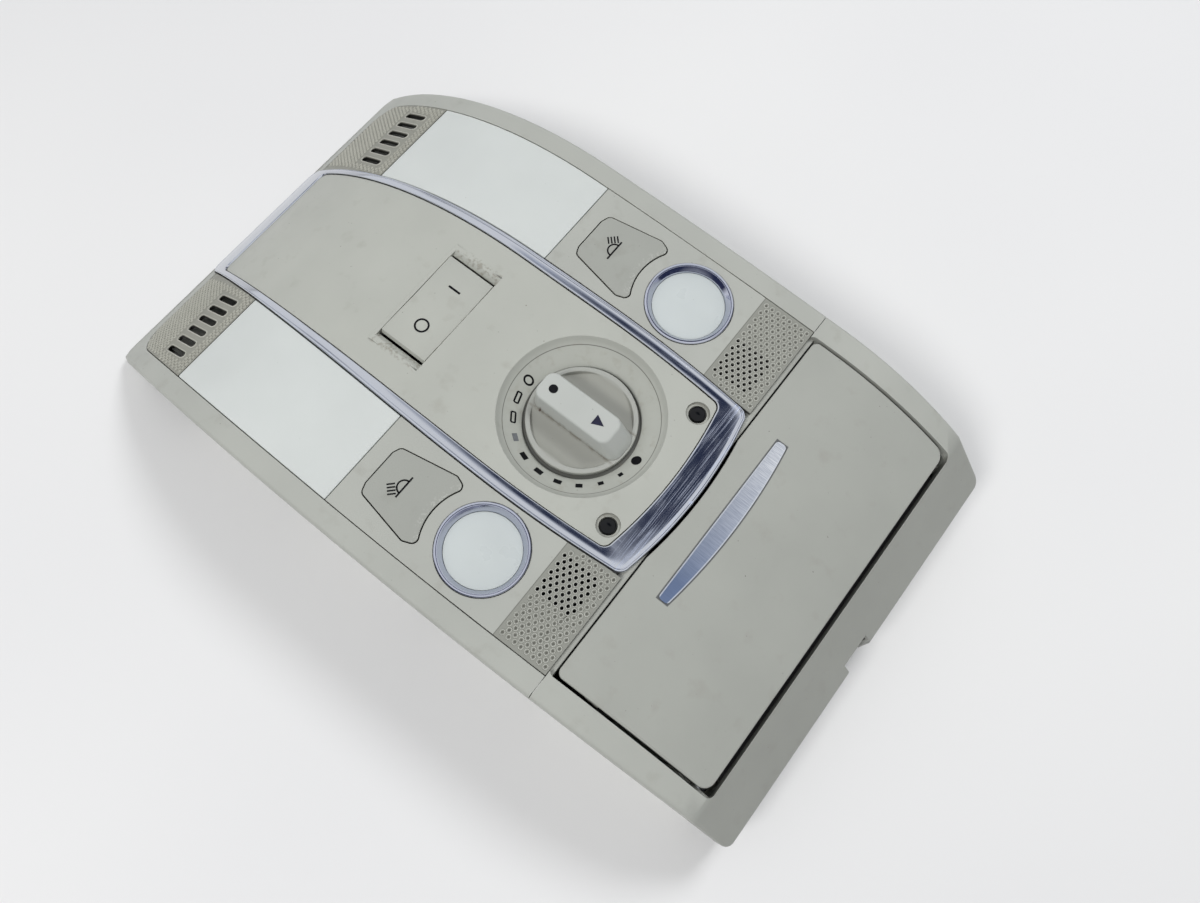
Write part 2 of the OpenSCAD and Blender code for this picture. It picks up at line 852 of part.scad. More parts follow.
// Back housing of the lights, an open tub whose rim meets the carrier grid
housing_rear_x = frame_seam_x - 3;
module light_housing() {
  color(white)
    difference() {
      union() {
        difference() {
          intersection() {
            below(skin + grid_t);
            translate([housing_front_x, -housing_half, 0])
              cube([housing_rear_x - housing_front_x, 2 * housing_half, high_z]);
          }
          intersection() {
            below(-5);
            translate([housing_front_x + wall, -housing_half + wall, wall])
              cube([
                housing_rear_x - housing_front_x - 2 * wall, 2 * (housing_half - wall), high_z
              ]);
          }
        }
        for (p = board_screw_at) bore(p[0], p[1], 3.5, wall - 0.1, board_z - board_t);
        housing_ears(housing_screw_at, boss_r, housing_half);
      }
      for (p = board_screw_at) bore(p[0], p[1], screw_core_r, board_z - board_t - 10, high_z);
      translate([connector_x, 0, -1])
        linear_extrude(height = wall + 2)
          square([connector_w + 0.4, connector_l + 0.4], center = true);
    }
}

board_x0 = -24;
board_x1 = 74;
board_half = 80;
board_screw_at = [for (x = [-18, 68]) for (s = [-1, 1]) [x, s * 74]];
module circuit_board() {
  color(board_green)
    difference() {
      translate([board_x0, -board_half, board_z - board_t])
        cube([board_x1 - board_x0, 2 * board_half, board_t]);
      for (p = board_screw_at) bore(p[0], p[1], screw_r + 0.2);
      bore(knob_x, 0, shaft_r + 1);
    }
}

// Rotary switch on the board, with a bore for the pressed sleeve
switch_r = 12;
sleeve_r = shaft_r + 2;
module rotary_switch() {
  color(dark)
    difference() {
      bore(knob_x, 0, switch_r, board_z, face_z - dish_d - skin - 0.3);
      bore(knob_x, 0, sleeve_r + run);
    }
}
module knob_plunger() {
  color(white)
    difference() {
      bore(knob_x, 0, sleeve_r, board_z + press + 0.4, face_z - dish_d - 0.4);
      bore(knob_x, 0, shaft_r + run);
    }
}
disc_z = face_z - dish_d + press + 0.3;
module knob_shaft() {
  color(steel) bore(knob_x, 0, shaft_r, board_z - board_t - 4, disc_z);
}
// Half length of the grip towards its pointer, and at its foot and top towards its tail
grip_nose = disc_r - 2.7;
grip_tail = disc_r - 1.5;
grip_slope = 5.2;
grip_corner = 4.2;
disc_rim = 2.3;
hollow_r = 11.3;
hollow_y = 14.5;
hollow_d = 1.8;
module knob() {
  grip_z = disc_z + disc_t;
  grip_h = face_z + grip_up - grip_z;
  color(plastic)
    translate([knob_x, 0, 0])
      difference() {
        union() {
          translate([0, 0, disc_z]) cylinder(r = disc_r, h = disc_t, $fn = 96);
          translate([0, 0, grip_z - 0.2]) hull() {
            grip_layer(0, 0.9, 0);
            grip_layer(3.5, 0.35, grip_slope * 0.3);
          }
          translate([0, 0, grip_z]) hull() {
            grip_layer(3.1, 0.35, grip_slope * 0.3);
            grip_layer(grip_h - 1.3, 0, grip_slope);
            grip_layer(grip_h - 0.2, -1.2, grip_slope + 1.2);
          }
        }
        // Hollow for a finger on each side of the grip
        both_sides()
          intersection() {
            cylinder(r = disc_r - disc_rim, h = grip_z + 1, $fn = 96);
            translate([0, hollow_y, grip_z + hollow_r - hollow_d])
              rotate([0, 90, 0])
                cylinder(r = hollow_r, h = 2 * disc_r, center = true, $fn = 96);
          }
      }
}
// One thin slice of the grip, with its tail drawn in by cut
module grip_layer(z, grow, cut) {
  for (x = [-grip_nose + grip_corner, grip_tail - grip_corner - cut], s = [-1, 1])
    translate([x, s * (grip_w / 2 - grip_corner), z])
      cylinder(r = grip_corner + grow, h = 0.2, $fn = 32);
}

// Rocker cap, a wedge on each side of its pivot, with two trunnions along X
trunnion_r = 2;
module rocker() {
  color(plastic) {
    translate([rocker_x, 0, face_z])
      rotate([90, 0, 90])
        linear_extrude(height = rocker_w, center = true)
          polygon([
            [-rocker_l / 2, 0.5], [-rocker_l / 2 + 0.8, 0.9], [0, 0.4], [rocker_l / 2 - 0.8, 0.9],
            [rocker_l / 2, 0.5], [rocker_l / 2 - 0.6, -3.5], [6, -rocker_h], [-6, -rocker_h],
            [-rocker_l / 2 + 0.6, -3.5]
          ]);
    translate([rocker_x, 0, face_z - rocker_pivot_d])
      rotate([0, 90, 0])
        cylinder(r = trunnion_r, h = rocker_w + 2 * 2.2, center = true);
  }
}
// Case under the rocker that carries its trunnions
module rocker_case() {
  case_top = face_z - recess_d - well_t - 0.1;
  case_low = board_z + 1;
  inner_w = rocker_w + 0.8;
  outer_w = inner_w + 4;
  half_l = 21;
  color(dark)
    difference() {
      translate([rocker_x - outer_w / 2, -half_l, case_low])
        cube([outer_w, 2 * half_l, case_top - case_low]);
      translate([rocker_x, 0, face_z - rocker_h - 4])
        linear_extrude(height = 40)
          square([inner_w, 2 * half_l - 3], center = true);
      translate([rocker_x, 0, face_z - rocker_pivot_d])
        rotate([0, 90, 0])
          cylinder(r = trunnion_r + run, h = 60, center = true);
    }
}

module reading_button() {
  color(plastic)
    difference() {
      translate([0, 0, face_z - button_h])
        linear_extrude(height = button_h + 0.3)
          button_shape();
      translate([0, 0, face_z - button_h - 1])
        linear_extrude(height = button_h - 1)
          button_shape(-1.6);
    }
  color(plastic)
    bore(button_stem_x, read_y, 3, stem_low_z, face_z - 1.5);
}
button_stem_x = -5;
switch_top_z = board_z + 6;
stem_low_z = switch_top_z + button_travel + 0.3;
module button_switches() {
  color(dark)
    both_sides() {
      translate([button_stem_x - 6, read_y - 6, board_z]) cube([12, 12, 4]);
      bore(button_stem_x, read_y, 3, board_z + 3.9, switch_top_z);
    }
}

// Plug socket in the underside of the light housing
connector_x = 20;
connector_w = 14;
connector_l = 34;
connector_h = 13;
module connector() {
  color(dark)
    difference() {
      translate([connector_x - connector_w / 2, -connector_l / 2, 0.4])
        cube([connector_w, connector_l, connector_h]);
      translate([connector_x - connector_w / 2 + 1.6, -connector_l / 2 + 1.6, -1])
        cube([connector_w - 3.2, connector_l - 3.2, connector_h - 1.2]);
    }
}

module microphones() {
  color(dark)
    both_sides() bore(grille_x + 11.6, chrome_half + 13, 6, grid_z - 6, panel_z);
}

// Back housing of the glasses box, an open tub with a flat underside
box_front_x = frame_seam_x - 0.2;
module box_housing() {
  color(white)
    difference() {
      union() {
        difference() {
          intersection() {
            below(skin);
            translate([box_front_x, -box_half, 0])
              cube([box_rear_x - box_front_x, 2 * box_half, high_z]);
          }
          translate([box_front_x + wall, -box_half + wall, wall])
            cube([box_rear_x - box_front_x - 2 * wall, 2 * (box_half - wall), high_z]);
          // Room for the frame's front bar
          translate([box_front_x - 5, -half_w, face_z - 9]) cube([5 + wall + 0.1, 2 * half_w, 20]);
        }
        housing_ears(box_screw_at, box_boss_r, box_half);
      }
      for (s = [-1, 1]) bore(mount_x, s * mount_span / 2, mount_hole_r);
      for (s = [-1, 1])
        translate([0, s * (ear_y + 1.5), 0])
          rotate([90, 0, 0])
            linear_extrude(height = 3.4, center = true)
              translate([box_rear_x - wall - 4, face_at(box_rear_x) - skin - 5.4])
                square([9, 20]);
    }
}

// Foam bar on the frame's rim that darkens the gap behind the lid
seal_t = 3.4;
module gap_seal() {
  color(dark)
    translate([lid_rear_x + 0.6, -lid_rear_half + 8, pivot_z - 10])
      cube([lid_rear_gap - 0.8, 2 * lid_rear_half - 16, seal_t]);
}

// Push latch on the box housing's side wall, beside the tray
latch_x = 102;
latch_top_z = 50;
latch_l = 12;
latch_h = 20;
latch_wall = 2.2;
latch_floor = 4;
plunger_w = 6;
plunger_t = 5.8;
plunger_gap = 0.2;
module latch_case() {
  slot_y = plunger_t + 2 * plunger_gap;
  slot_x_w = plunger_w + 2 * plunger_gap;
  color(dark)
    difference() {
      translate([latch_x - latch_l / 2, -box_half + wall, latch_top_z - latch_h])
        cube([latch_l, box_half - wall - tray_half - 1.2, latch_h]);
      translate([
        latch_x - slot_x_w / 2, -box_half + wall + latch_wall,
        latch_top_z - latch_h + latch_floor
      ])
        cube([slot_x_w, slot_y, 30]);
    }
}
plunger_low_z = latch_top_z - 12.4;
module latch_plunger() {
  color(white)
    translate([
      latch_x - plunger_w / 2, -box_half + wall + latch_wall + plunger_gap, plunger_low_z
    ])
      cube([
        plunger_w, plunger_t, face_at(latch_x + plunger_w / 2) - skin - 0.3 - plunger_low_z
      ]);
}

// Teeth with involute flanks
pressure_angle = 20;
function involute(a) = tan(a) * 180 / PI - a;
function flank(r, base_r, half) =
  half + involute(pressure_angle) - involute(acos(min(1, base_r / max(r, base_r))));
function tooth(teeth, i, phase) =
  let (
    pitch_r = gear_m * teeth / 2,
    base_r = pitch_r * cos(pressure_angle),
    root_r = pitch_r - 1.25 * gear_m,
    tip_r = pitch_r + 0.9 * gear_m,
    half = 90 / teeth - backlash / 2 / pitch_r * 180 / PI / 2,
    middle = phase + i * 360 / teeth,
    radii = [root_r, for (k = [0:5]) max(root_r, base_r) + (tip_r - max(root_r, base_r)) * k / 5]
  )
  concat(
    [for (r = radii) let (a = middle - flank(r, base_r, half)) r * [cos(a), sin(a)]],
    back([for (r = radii) let (a = middle + flank(r, base_r, half)) r * [cos(a), sin(a)]])
  );
function wheel(teeth, phase, first, last) = [for (i = [first:last]) each tooth(teeth, i, phase)];
sector_r = gear_m * sector_teeth / 2;
pinion_r = gear_m * pinion_teeth / 2;
pinion_x = pivot_x + (sector_r + pinion_r) * cos(mesh_angle);
pinion_z = pivot_z + (sector_r + pinion_r) * sin(mesh_angle);
gear_y = tray_half + 1;
module toothed_sector() {
  translate([pivot_x, gear_y + gear_w, pivot_z])
    rotate([90, 0, 0])
      linear_extrude(height = gear_w + 1.1)
        difference() {
          polygon(concat([[0, 0]], wheel(sector_teeth, mesh_angle, -2, 9)));
          circle(r = sector_r - 7, $fn = 64);
        }
}
module damper_gear() {
  color(white) {
    translate([pinion_x, gear_y + gear_w, pinion_z])
      rotate([90, 0, 0])
        linear_extrude(height = gear_w - 0.3)
          polygon(wheel(pinion_teeth, mesh_angle - 180 + 180 / pinion_teeth, 0, pinion_teeth - 1));
    translate([pinion_x, gear_y + gear_w + 3, pinion_z])
      rotate([90, 0, 0])
        cylinder(r = 1.5, h = 3.1);
  }
}
module damper_case() {
  case_y = gear_y + gear_w + 0.3;
  color(dark)
    difference() {
      translate([pinion_x, box_half - wall, pinion_z])
        rotate([90, 0, 0])
          cylinder(r = 9, h = box_half - wall - case_y);
      translate([pinion_x, box_half - wall - 1, pinion_z])
        rotate([90, 0, 0])
          cylinder(r = 1.5 + run, h = 20);
    }
}

module screw(length, head_r) {
  translate([0, 0, -screw_head_t]) cylinder(r = head_r, h = screw_head_t);
  cylinder(r = screw_core_r, h = length);
}
module board_screws() {
  color(steel)
    for (p = board_screw_at)
      translate([p[0], p[1], board_z]) mirror([0, 0, 1]) screw(9, screw_head_r);
}
module ear_screws(places, head_r) {
  color(steel)
    for (p = places)
      translate([p[0], p[1], face_at(p[0]) - skirt_d - boss_low - ear_t]) screw(12, head_r);
}
module housing_screws() {
  ear_screws(housing_screw_at, screw_head_r);
}
module box_screws() {
  ear_screws(box_screw_at, box_boss_r);
}

// Folded spring clips on the light housing's side walls that grip the roof panel
clip_at = [-70, 20];
clip_w = 10;
module spring_clips() {
  color(steel)
    both_sides()
      for (x = clip_at)
        translate([x - clip_w / 2, housing_half, 0])
          rotate([90, 0, 90])
            linear_extrude(height = clip_w)
              polygon([
                [0, 8], [0.8, 8], [0.8, 12], [4.2, 20], [1.4, 27], [0.8, 26.4], [3.2, 20],
                [0, 12.4]
              ]);
}

module lid_bumpers() {
  color(dark)
    both_sides()
      translate([bumper_x, lid_half - 3.6, 0])
        bumper();
}
bumper_x = 96;
module bumper() {
  z = face_at(bumper_x) - skin - 0.4;
  translate([0, 0, z - 7]) cylinder(r = 2.2, h = 7);
  translate([-2.5, -2.2, z - 9]) cube([5, box_half - wall - lid_half + 5.8, 2.1]);
}

module hinge_pins() {
  color(steel)
    both_sides()
      translate([pivot_x, ear_y + 3, pivot_z])
        rotate([90, 0, 0])
          cylinder(r = pin_r, h = ear_y + 3 - tray_half - 1.4);
}

module glasses_lid() {
  color(plastic) skin_of(0, skin) lid_outline();
}
module lid_strip() {
  color(steel)
    skin_of(-0.4, 0)
      difference() {
        intersection() {
          translate([98, -41]) square([7.9, 82]);
          translate([105.9 - 260, 0]) circle(r = 260, $fn = 180);
        }
      }
}
// Bucket under the lid, open towards the table, with a front wall that swings clear
module tray_block(inset, depth) {
  intersection() {
    below(depth);
    translate([0, 0, pivot_z])
      rotate([90, 0, 0])
        linear_extrude(height = 2 * (tray_half - inset), center = true)
          intersection() {
            translate([pivot_x, 0]) circle(r = tray_r - inset, $fn = 180);
            translate([pivot_x - tray_r, tray_low_z - pivot_z - (inset > 0 ? 5 : 0)])
              square([tray_rear_x - inset - pivot_x + tray_r, 100]);
          }
  }
}
module glasses_tray() {
  color(textured)
    difference() {
      union() {
        difference() {
          tray_block(0, skin);
          tray_block(tray_wall, skin + tray_wall);
        }
        toothed_sector();
        both_sides()
          translate([0, lug_y + lug_w, 0])
            rotate([90, 0, 0])
              linear_extrude(height = lug_w)
                hull() {
                  translate([pivot_x, pivot_z]) circle(r = lug_r, $fn = 32);
                  translate([tray_rear_x - 12, pivot_z + 0.5]) square([6, 6]);
                }
        both_sides()
          translate([tray_rear_x - 12, tray_half - 0.1, pivot_z + 0.5]) cube([6, lug_y - tray_half + 0.2, 6]);
      }
      pivot_bore(pin_r + run);
    }
}
module tray_liner() {
  color(dark)
    intersection() {
      difference() {
        tray_block(tray_wall + 0.4, skin + tray_wall);
        tray_block(tray_wall + 0.3, skin + tray_wall + liner_t);
      }
    }
}

light_frame();
box_frame();
chrome_frame();
centre_panel();
side(1) vent_panel();  // vent_panel_left
side(-1) vent_panel();  // vent_panel_right
side(1) dome_lens();  // dome_lens_left
side(-1) dome_lens();  // dome_lens_right
side(1) switch_panel();  // switch_panel_left
side(-1) switch_panel();  // switch_panel_right
side(1) reading_ring();  // reading_ring_left
side(-1) reading_ring();  // reading_ring_right
side(1) reading_lens();  // reading_lens_left
side(-1) reading_lens();  // reading_lens_right
side(1) reading_reflector();  // reading_reflector_left
side(-1) reading_reflector();  // reading_reflector_right
side(1) reading_bulb();  // reading_bulb_left
side(-1) reading_bulb();  // reading_bulb_right
side(1) dome_reflector();  // dome_reflector_left
side(-1) dome_reflector();  // dome_reflector_right
side(1) dome_bulb();  // dome_bulb_left
side(-1) dome_bulb();  // dome_bulb_right
bulb_contacts();
side(1) sensor();  // sensor_left
side(-1) sensor();  // sensor_right
light_housing();
circuit_board();
rotary_switch();
rocker_case();
button_switches();
connector();
microphones();
box_housing();
gap_seal();
latch_case();
latch_plunger();
damper_case();
damper_gear();
board_screws();
housing_screws();
box_screws();
spring_clips();
lid_bumpers();
hinge_pins();
rocker();
knob_plunger();
knob();
knob_shaft();
side(1) reading_button();  // reading_button_left
side(-1) reading_button();  // reading_button_right
glasses_lid();
lid_strip();
glasses_tray();
tray_liner();
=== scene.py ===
"""Looks of the car overhead console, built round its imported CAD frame.

The console lies on its back on a pale floor: +Z is its face, -X its vent end.
Sizes are in millimetres and become metres where a mesh or a material is made.
"""

import math

import bmesh
import bpy
from mathutils import Matrix, Vector


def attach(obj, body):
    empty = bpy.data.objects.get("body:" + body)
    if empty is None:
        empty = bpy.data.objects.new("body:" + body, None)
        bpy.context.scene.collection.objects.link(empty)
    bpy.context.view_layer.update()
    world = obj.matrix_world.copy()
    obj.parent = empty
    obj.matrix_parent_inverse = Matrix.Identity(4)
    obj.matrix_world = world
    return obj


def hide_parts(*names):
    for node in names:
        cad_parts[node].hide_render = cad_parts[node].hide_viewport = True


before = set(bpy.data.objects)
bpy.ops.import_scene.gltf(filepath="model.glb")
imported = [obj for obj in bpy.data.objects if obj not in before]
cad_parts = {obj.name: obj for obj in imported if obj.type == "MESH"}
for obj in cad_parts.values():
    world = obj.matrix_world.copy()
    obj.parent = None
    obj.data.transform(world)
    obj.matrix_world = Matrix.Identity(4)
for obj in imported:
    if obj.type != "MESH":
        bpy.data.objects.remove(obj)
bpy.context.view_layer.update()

MM = 0.001
SIDES = (("left", 1), ("right", -1))
scene = bpy.context.scene

# The face: level in the middle, bent down towards both ends, with a steep band at the rear
FACE_Z = 67.2
FRONT_X, FRONT_R = -37.0, 190.0
REAR_X, REAR_R = 93.0, 150.0
BAND_X, BAND_SLOPE = 158.0, math.tan(math.radians(47))
HALF_W, SIDE_R, BEZEL_W = 102.1, 3000.0, 10.3
END_X, CORNER_X, CORNER_Y, NOSE_X = 178.6, 176.0, 88.0, -174.0
CHROME_HALF, CHROME_WIDE_X = 46.9, 13.0
CHROME_FRONT_BOW, CHROME_REAR_BOW = 1750.0, 600.0
CHROME_FRONT_X, CHROME_REAR_X, CHROME_REAR_R = -177.0, 86.8, 185.0
CHROME_FRONT_W, CHROME_REAR_W, CHROME_BAR, CHROME_TAPER = 12.0, 12.5, 5.6, 0.018
CHROME_PROUD, CHROME_TAPER_X = 0.8, -20.0
CHROME_CORNER_OUT, CHROME_CORNER_IN = 5.0, 4.0
CHROME_CHIP = (86.0, -2.7)
SEAM = 0.3
RIM_RADIUS, NOSE_RIM_RADIUS = 2.0, 0.9

# Vent panels and microphone grilles
VENT_X0, LENS_X0, GRILLE_X, FRAME_SEAM_X = -170.0, -125.3, 57.2, 82.6
PANEL_CORNER = 12.0
SLOTS, SLOT_X, SLOT_Y, SLOT_STEP = 6, -140.0, 48.4, 6.46
SLOT_REACH, SLOT_R, SLOT_SLANT = 5.5, 1.75, -2.0
SLOT_CLEAR_X, SLOT_CLEAR_Y = 8.8, 3.2
SOOT_HALF_X, SOOT_Y0, SOOT_Y1 = 12.0, 44.5, 84.5
WEAVE_X, WEAVE_Y = 1.5, 2.1
HOLE_STEP_X, HOLE_STEP_Y = 1.5, 2.1
HOLE_ROWS, HOLE_COLUMNS = 12, 9
HOLE_X0, HOLE_Y0, GRILLE_MARGIN = GRILLE_X + 2.3, CHROME_HALF + 3.5, 1.5

# Controls and lights
KNOB_X, DISC_R, DISC_Z, DISC_T, GRIP_TOP, GRIP_W = 28.3, 23.7, 58.7, 3.0, 72.2, 13.5
HOLLOW_R, HOLLOW_Y, HOLLOW_D, RIM_W = 11.3, 14.5, 1.8, 2.3
GRIP_FOOT_Y = GRIP_W / 2 + 0.95
KNOB_CRUMB = (12.2, -7.9)
KNOB_DOT_X, KNOB_DOT_R = 13.4, 1.95
KNOB_ARROW = [(39.6, -0.1), (34.6, 2.5), (34.6, -2.4)]
DISH_R, DISH_D, DISH_SEAM_R, DISH_FLOOR_R = 35.6, 10.0, 33.0, 24.9
DISH_PROFILE = [
    (0.0, -DISH_D), (DISH_FLOOR_R, -DISH_D), (25.2, -9.0), (DISH_SEAM_R, -3.6), (34.6, -1.6), (DISH_R, 0.0),
]
MARK_R, MARK_STEP, MARK_LINE = 28.6, 18, 0.68
PANEL_SPECKS = ((-4.6, 15.8, 0.35), (46.0, -25.4, 0.3), (-21.0, 24.0, 0.4), (62.0, -28.0, 0.3))
ROCKER_X, ROCKER_W, ROCKER_END_Y = -49.8, 24.0, 23.5
ROCKER_TOP_X, ROCKER_DIP, ROCKER_RISE = 21.9, 0.75, 0.45
PIVOT_D, TRUNNION_R, TRUNNION_L = 10.0, 2.0, 2.2
READ_X, READ_Y, RING_R, LENS_R = 32.7, 68.4, 19.25, 15.8
BUTTON_NEAR_R, BUTTON_FAR_R = 23.0, 31.0
SIGN_X, SIGN_HALF, SIGN_LAMP_R = -7.75, 5.2, 3.0
RAYS, RAY_AWAY, RAY_HALF, RAY_STEP = 4, 5.2, 1.7, 1.4
STRIP_FRONT_X, STRIP_W, STRIP_HALF, STRIP_R = 98.0, 7.9, 41.0, 260.0
STRIP_CENTRE, STRIP_CORNER = STRIP_FRONT_X + STRIP_W - STRIP_R, 1.7


def face_z(x):
    """Height of the face at a place along the console."""
    if x < FRONT_X:
        return FACE_Z - FRONT_R + math.sqrt(FRONT_R ** 2 - (x - FRONT_X) ** 2)
    if x > REAR_X:
        return FACE_Z - REAR_R + math.sqrt(REAR_R ** 2 - (x - REAR_X) ** 2)
    return FACE_Z


def banded_face_z(x):
    """Height of the face with its steep rear band."""
    if x <= BAND_X:
        return face_z(x)
    return face_z(BAND_X) - (x - BAND_X) * BAND_SLOPE


def face_normal(x):
    """Outward normal of the face at a place along the console."""
    if x < FRONT_X:
        slope = (x - FRONT_X) / FRONT_R
    elif x > REAR_X:
        slope = (x - REAR_X) / REAR_R
    else:
        slope = 0.0
    return Vector((slope, 0.0, math.sqrt(1.0 - slope * slope)))


def on_face(x, y, lift):
    """The point lifted off the face along its normal."""
    return tuple(Vector((x, y, face_z(x))) + face_normal(x) * lift)


def level(z):
    """A height function that is the same everywhere."""
    return lambda x, y: z


def side_y(x):
    return HALF_W - x * x / (2 * SIDE_R)


def seam_y(x):
    return side_y(x) - BEZEL_W


def chrome_y(x):
    bow = CHROME_FRONT_BOW if x < CHROME_WIDE_X else CHROME_REAR_BOW
    return CHROME_HALF - (x - CHROME_WIDE_X) ** 2 / (2 * bow)


# Colours and node helpers
def linear(rgb):
    """A colour written as sRGB 0-255, as linear values with alpha."""
    out = []
    for c in rgb:
        c /= 255.0
        out.append(c / 12.92 if c <= 0.04045 else ((c + 0.055) / 1.055) ** 2.4)
    return (*out, 1.0)


def toned(colour, factor):
    """A linear colour made lighter or darker."""
    return (*(min(1.0, c * factor) for c in colour[:3]), 1.0)


class Tree:
    """A small wrapper that adds and links the nodes of one node tree."""

    def __init__(self, tree):
        self.tree = tree

    def add(self, kind, links=None, **values):
        node = self.tree.nodes.new(kind)
        for key, value in values.items():
            setattr(node, key, value)
        for socket, source in (links or {}).items():
            if isinstance(source, bpy.types.NodeSocket):
                self.tree.links.new(source, node.inputs[socket])
            else:
                node.inputs[socket].default_value = source
        return node

    def ramp(self, source, low, high, to_low=0.0, to_high=1.0):
        return self.add(
            "ShaderNodeMapRange", {0: source, 1: low, 2: high, 3: to_low, 4: to_high}
        ).outputs[0]

    def math(self, operation, a, b=0.0):
        return self.add("ShaderNodeMath", {0: a, 1: b}, operation=operation).outputs[0]

    def times(self, first, *others):
        """Product of values and sockets."""
        for other in others:
            first = self.math("MULTIPLY", first, other)
        return first

    def length(self, a, b):
        """Length of the hypotenuse over a and b."""
        return self.math("SQRT", self.math("ADD", self.times(a, a), self.times(b, b)))

    def mix(self, factor, a, b):
        return self.add("ShaderNodeMix", {0: factor, 6: a, 7: b}, data_type="RGBA").outputs[2]

    def tint(self, shade, rgb, *factors):
        """The shade mixed with a colour by the product of the factors."""
        return self.mix(self.times(*factors), shade, linear(rgb))


class Nodes(Tree):
    """The nodes of one material, with places on the console in millimetres."""

    def __init__(self, name):
        self.material = bpy.data.materials.new(name)
        self.material.use_nodes = True
        super().__init__(self.material.node_tree)
        self.shader = self.tree.nodes["Principled BSDF"]
        self.place = self.add("ShaderNodeTexCoord").outputs["Object"]
        self.hollow = None

    def link(self, source, socket):
        self.tree.links.new(source, self.shader.inputs[socket])

    def set(self, **values):
        for key, value in values.items():
            self.shader.inputs[key.replace("_", " ")].default_value = value

    def mapped(self, scale, **values):
        return self.add(
            "ShaderNodeMapping", {"Vector": self.place, "Scale": scale, **values}
        ).outputs["Vector"]

    def noise(self, size_mm, detail=3.0):
        """Noise whose features are about size_mm across."""
        return self.add(
            "ShaderNodeTexNoise", {"Vector": self.place, "Scale": 1000.0 / size_mm, "Detail": detail}
        ).outputs["Fac"]

    def streaks(self, vector, detail, roughness=0.5):
        """Noise stretched by the scale of its vector."""
        return self.add(
            "ShaderNodeTexNoise",
            {"Vector": vector, "Scale": 1.0, "Detail": detail, "Roughness": roughness},
        ).outputs["Fac"]

    def crease(self, reach_mm):
        """1 in the open, less in corners and gaps."""
        return self.add("ShaderNodeAmbientOcclusion", {"Distance": reach_mm * MM}, samples=6).outputs["AO"]

    def bump(self, height, strength, depth_mm, **links):
        links.update(Height=height, Strength=strength, Distance=depth_mm * MM)
        return self.add("ShaderNodeBump", links).outputs["Normal"]

    def axis(self, name):
        return self.add("ShaderNodeSeparateXYZ", {"Vector": self.place}).outputs[name]

    def across(self):
        """Distance from the console's middle line."""
        return self.math("ABSOLUTE", self.axis("Y"))

    def away(self, x, y, both_sides=False):
        """Distance from an upright axis, or from the nearer one of a left and right pair."""
        dx = self.math("SUBTRACT", self.axis("X"), x * MM)
        dy = self.math("SUBTRACT", self.across() if both_sides else self.axis("Y"), y * MM)
        return self.length(dx, dy)

    def rising(self, source, start_mm, end_mm, top=1.0):
        return self.ramp(source, start_mm * MM, end_mm * MM, 0.0, top)

    def falling(self, source, start_mm, end_mm, top=1.0):
        return self.ramp(source, start_mm * MM, end_mm * MM, top, 0.0)

    def window(self, source, rise_mm, fall_mm):
        """1 between two soft edges, each given by its start and end, 0 outside."""
        return self.times(self.rising(source, *rise_mm), self.falling(source, *fall_mm))

    def band(self, axis, low_mm, high_mm, edge_mm=0.06):
        """1 between two places along an axis, 0 outside."""
        return self.window(self.axis(axis), (low_mm - edge_mm, low_mm), (high_mm, high_mm + edge_mm))

    def spot(self, x, y, radius_mm, edge_mm=0.5):
        """1 within a radius of an upright axis, falling to 0 over the edge."""
        return self.falling(self.away(x, y), radius_mm - edge_mm, radius_mm)


# Wear, dirt and painted shade that single pieces add to their plastic
def dish_dirt_and_shade(n, shade):
    """The dish's painted shade, a dark line at its crease and near black on its floor round the knob, the
    specks of the photograph, dirt at the rocker's ends.
    """
    # Painted shade: a dark line at the crease between the dish's steep wall and its floor
    line = n.math("SUBTRACT", n.spot(KNOB_X, 0.0, DISH_SEAM_R + 0.22, 0.16),
                  n.spot(KNOB_X, 0.0, DISH_SEAM_R - 0.06, 0.16))
    shade = n.tint(shade, (58, 56, 52), line, 0.72)
    # Painted shade: near black on the dish floor in the gap round the knob's disc
    shade = n.tint(shade, (30, 29, 28), n.spot(KNOB_X, 0.0, DISH_FLOOR_R + 0.12, 0.1), 0.75)
    shade = n.tint(shade, (126, 112, 90), n.spot(KNOB_X, 0.0, DISH_SEAM_R + 1.2, 1.4),
                   n.ramp(n.noise(3.5, 5.0), 0.55, 0.75, 0.0, 0.2))
    for x, y, r in PANEL_SPECKS:
        shade = n.tint(shade, (96, 88, 76), n.spot(x, y, r, 0.25), 0.7)
    end, half = ROCKER_END_Y, ROCKER_W / 2 + 0.4
    ends = n.times(n.window(n.across(), (end - 1.0, end), (end + 4.5, end + 6.0)),
                   n.band("X", ROCKER_X - half, ROCKER_X + half, 0.2))
    return n.tint(shade, (112, 104, 90), ends, n.ramp(n.noise(1.6, 5.0), 0.5, 0.64, 0.0, 0.5))


def gap_shade(n, shade, depth_mm, amount):
    """Painted shade on walls deeper than a depth under the level face, as in gaps and holes."""
    deep = n.falling(n.axis("Z"), FACE_Z - depth_mm - 0.2, FACE_Z - depth_mm, amount)
    return n.tint(shade, (34, 34, 32), deep)


